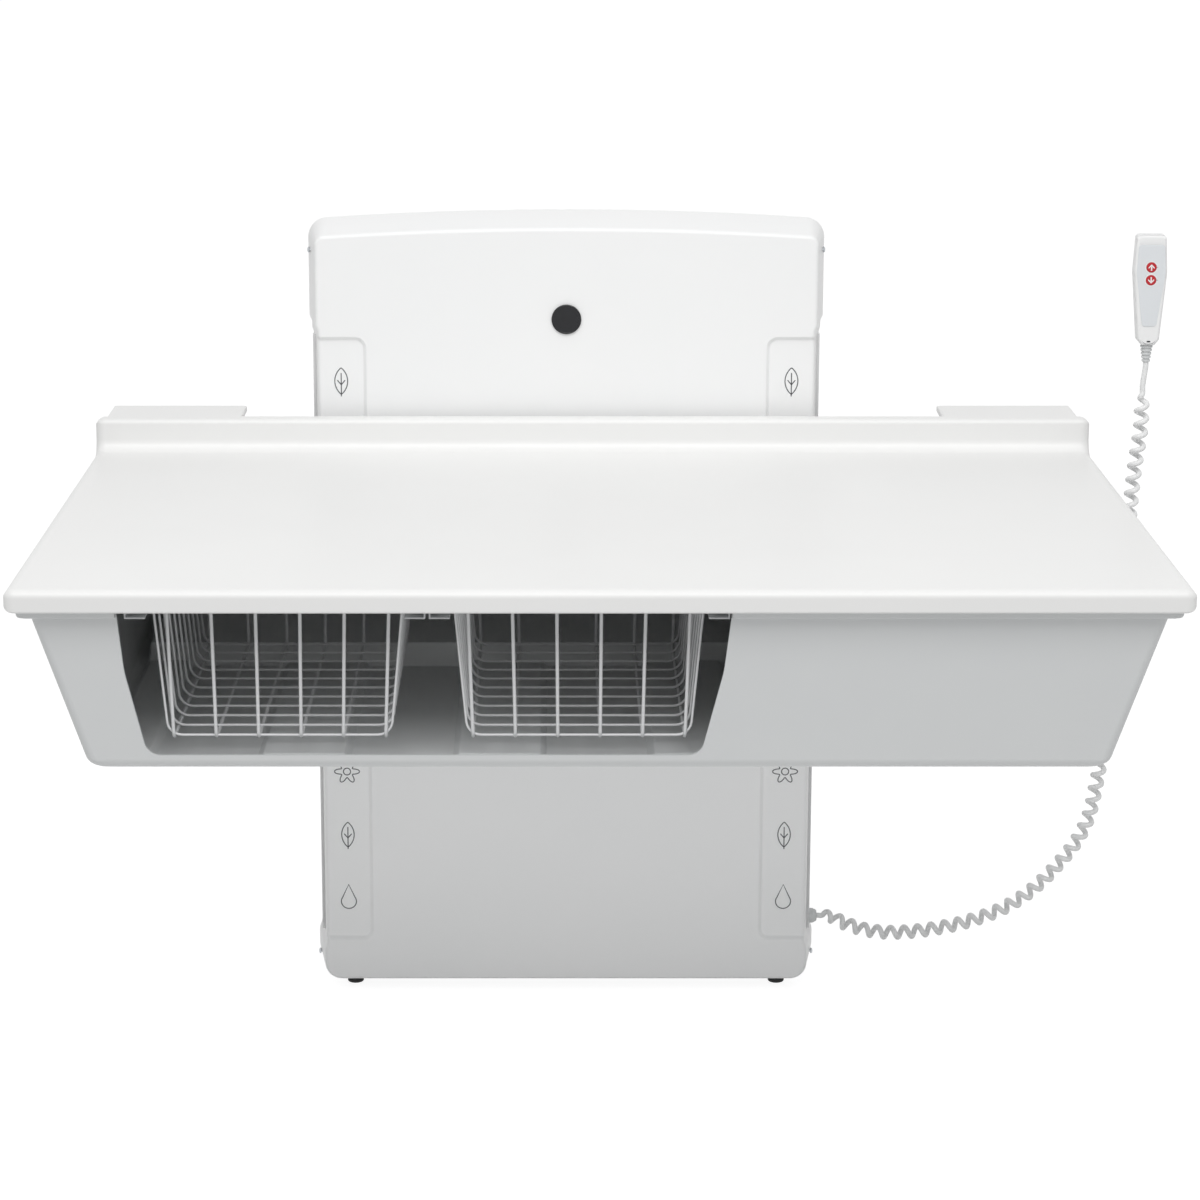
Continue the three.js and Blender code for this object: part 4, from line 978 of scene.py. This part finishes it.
def keypad():
    corners = keypad_corners(handset_low + 28, handset_low + 145, 10, 20.6, 18.4)
    face = handset_front
    bm = bmesh.new()
    rings = []
    for out, inset in [(face - 0.7, 0), (face - 0.2, 0), (face - 0.05, 0.12), (face, 0.35)]:
        rings.append([at(handset_x + x, out, up) for x, up in rounded_loop(corners, inset, 8)])
    loft(bm, rings)
    obj = finish_mesh("keypad_membrane", bm)
    holes = []
    for node in ("raise_button", "lower_button"):
        low, high = span(node)[4:]
        bm = bmesh.new()
        turned(bm, [(7.5, -3), (7.5, 3)], (handset_x, face, (low + high) / 2), "out")
        holes.append(finish_mesh("button_hole_cutter", bm))
    cut_away(obj, holes)
    obj.data.set_sharp_from_angle(angle=math.radians(42))
    even_normals(obj)
    dress(obj, "handset", "keypad_grey", "keypad_panel")


def button(name, node, body, arrow):
    left, right, near, far, low, high = span(node)
    up = (low + high) / 2
    radius = 7.3
    top = handset_front + 0.9
    bm = bmesh.new()
    turned(bm, [(radius, near + 0.2), (radius, top - 0.55), (radius - 0.25, top - 0.2), (radius - 0.9, top),
                (radius * 0.5, top + 0.05)], (handset_x, 0, up), "out", 48)
    obj = finish_mesh(name, bm)
    even_normals(obj)
    dress(obj, body, "red_button", node)
    chevron = [(0, 4.6), (-4.2, 0.4), (-4.2, -1.9), (0, 2.3), (4.2, -1.9), (4.2, 0.4)]
    shaft = [(-0.95, 1.2), (-0.95, -4.6), (0.95, -4.6), (0.95, 1.2), (0, 2.1)]
    sign = 1 if arrow == "up" else -1
    bm = bmesh.new()
    for outline in (chevron, shaft):
        loft(bm, [[at(handset_x + sign * x, out, up + sign * y) for x, y in outline]
                  for out in (top - 0.2, top + 0.16)])
    sign_piece = finish_mesh(name + "_arrow", bm)
    sign_piece.data.materials.append(white_print)
    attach(sign_piece, body)
    bm = bmesh.new()
    ring = circle(radius + 1.15, (0, 0), 0, 360, 48)
    ribbon(bm, ring[:-1] + [ring[0]], 1.5, handset_front - 0.1, handset_front + 0.12, (handset_x, up))
    halo = finish_mesh(name + "_halo", bm)
    halo.data.materials.append(white_print)
    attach(halo, "handset")


def strain_relief():
    left, right, near, far, low, high = span("strain_relief")
    length, rings = high - low, 5
    profile = [(4.2, 0), (5.2, 0.4)]
    pitch = length / rings
    for ring in range(rings):
        radius = 5.4 + (9 - 5.4) * (ring + 0.5) / rings
        start = ring * pitch
        rib = [(0, 0.18), (0.35, 0.45), (0, 0.72), (-1.4, 0.8), (-1.4, 0.98)]
        profile += [(radius + swell, start + share * pitch) for swell, share in rib]
    profile = [(radius, min(along, length)) for radius, along in profile]
    bm = bmesh.new()
    turned(bm, profile, (handset_x, cord_out, low), "up", 32)
    obj = finish_mesh("ribbed_strain_relief", bm)
    dress(obj, "handset", "grey_moulding", "strain_relief")


def chin_seam():
    """The curved joint line below the signal lens, which follows the rounded edge of the chin."""
    path = []
    corner_slope = math.hypot(6.5, 8)
    for x, rise in circle(12.1, (0, 14.1), 222, 318, 24):
        from_corner = (6.5 * rise + 8 * (9 - abs(x))) / corner_slope
        within = max(0, handset_edge - min(rise, from_corner))
        sink = handset_edge - math.sqrt(handset_edge ** 2 - within ** 2)
        path.append(at(handset_x + x, handset_face - sink, handset_low + rise))
    bm = bmesh.new()
    tube(bm, path, 0.28 * MM, 8)
    obj = finish_mesh("handset_chin_seam", bm)
    obj.data.materials.append(line_ink)
    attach(obj, "handset")


handset_shells()
handset_tongue()
chin_seam()
keypad()
button("raise_key", "raise_button", "raise_key", "up")
button("lower_key", "lower_button", "lower_key", "down")
strain_relief()


# CAD pieces that keep their shape: their slot's finish, and lightly broken edges

shown_slots = {part["node"]: part["material_slot"] for part in frame["record"]["subparts"]}
for node_name, node in frame["nodes"].items():
    node.data.materials.clear()
    node.data.materials.append(finishes[shown_slots[node_name]])
    if node.hide_render:
        continue
    add_modifier(node, "WELD", merge_threshold=1e-5)
    broken_edges(node, 0.5, 40)
    even_normals(node)


# Stage: a pale floor, soft lamps and a white surround

def seen_directly(tree):
    """1 where a ray comes straight from the camera, a mirror or glass, which then see plain white."""
    path = add_node(tree, "ShaderNodeLightPath")
    first = add_node(tree, "ShaderNodeMath", {
        0: path.outputs["Is Camera Ray"], 1: path.outputs["Is Glossy Ray"],
    }, operation="MAXIMUM")
    return add_node(tree, "ShaderNodeMath", {
        0: first.outputs[0], 1: path.outputs["Is Transmission Ray"],
    }, operation="MAXIMUM").outputs[0]


def studio_floor():
    bm = bmesh.new()
    reach = 40
    for x, y in ((-reach, -reach), (reach, -reach), (reach, reach), (-reach, reach)):
        bm.verts.new((x, y, floor_up * MM))
    bm.faces.new(bm.verts)
    obj = finish_mesh("studio_floor", bm)
    material = bpy.data.materials.new("pale_studio_floor")
    material.use_nodes = True
    tree = material.node_tree
    tree.nodes.clear()
    pale = add_node(tree, "ShaderNodeBsdfDiffuse", {"Color": linear("#dcdcdc")})
    shadow = add_node(tree, "ShaderNodeBsdfDiffuse", {"Color": (0.3, 0.3, 0.3, 1)})
    glow = add_node(tree, "ShaderNodeEmission", {"Color": (1, 1, 1, 1), "Strength": 0.9})
    white = add_node(tree, "ShaderNodeAddShader", {0: shadow.outputs[0], 1: glow.outputs[0]})
    mixed = add_node(tree, "ShaderNodeMixShader", {
        0: seen_directly(tree), 1: pale.outputs[0], 2: white.outputs[0],
    })
    add_node(tree, "ShaderNodeOutputMaterial", {"Surface": mixed.outputs[0]})
    obj.data.materials.append(material)


def surround():
    world = bpy.data.worlds.new("white_surround")
    scene.world = world
    world.use_nodes = True
    tree = world.node_tree
    tree.nodes.clear()
    ambient = add_node(tree, "ShaderNodeBackground", {"Color": (1, 1, 1, 1), "Strength": 0.45})
    white = add_node(tree, "ShaderNodeBackground", {"Color": (1, 1, 1, 1), "Strength": 1.0})
    mixed = add_node(tree, "ShaderNodeMixShader", {
        0: seen_directly(tree), 1: ambient.outputs[0], 2: white.outputs[0],
    })
    add_node(tree, "ShaderNodeOutputWorld", {"Surface": mixed.outputs[0]})


def lamp(name, power, size, place, aim):
    light = bpy.data.lights.new(name, "AREA")
    light.shape = "RECTANGLE"
    light.size, light.size_y = size
    light.energy = power
    obj = bpy.data.objects.new(name, light)
    scene.collection.objects.link(obj)
    obj.location = place
    obj.visible_camera = False
    obj.rotation_euler = (Vector(aim) - Vector(place)).to_track_quat("-Z", "Y").to_euler()


studio_floor()
surround()
lamp("ceiling_softbox", 27, (4.0, 3.0), (0, -1.5, 3.2), (0, -0.6, 0))
lamp("front_softbox", 112, (4.0, 2.5), (0, -4.0, 4.0), (0, -0.2, 0.2))
lamp("low_reflector", 1.3, (1.4, 0.4), (0, -0.75, -0.5), (0, 0, -0.25))

scene.view_settings.view_transform = "Standard"
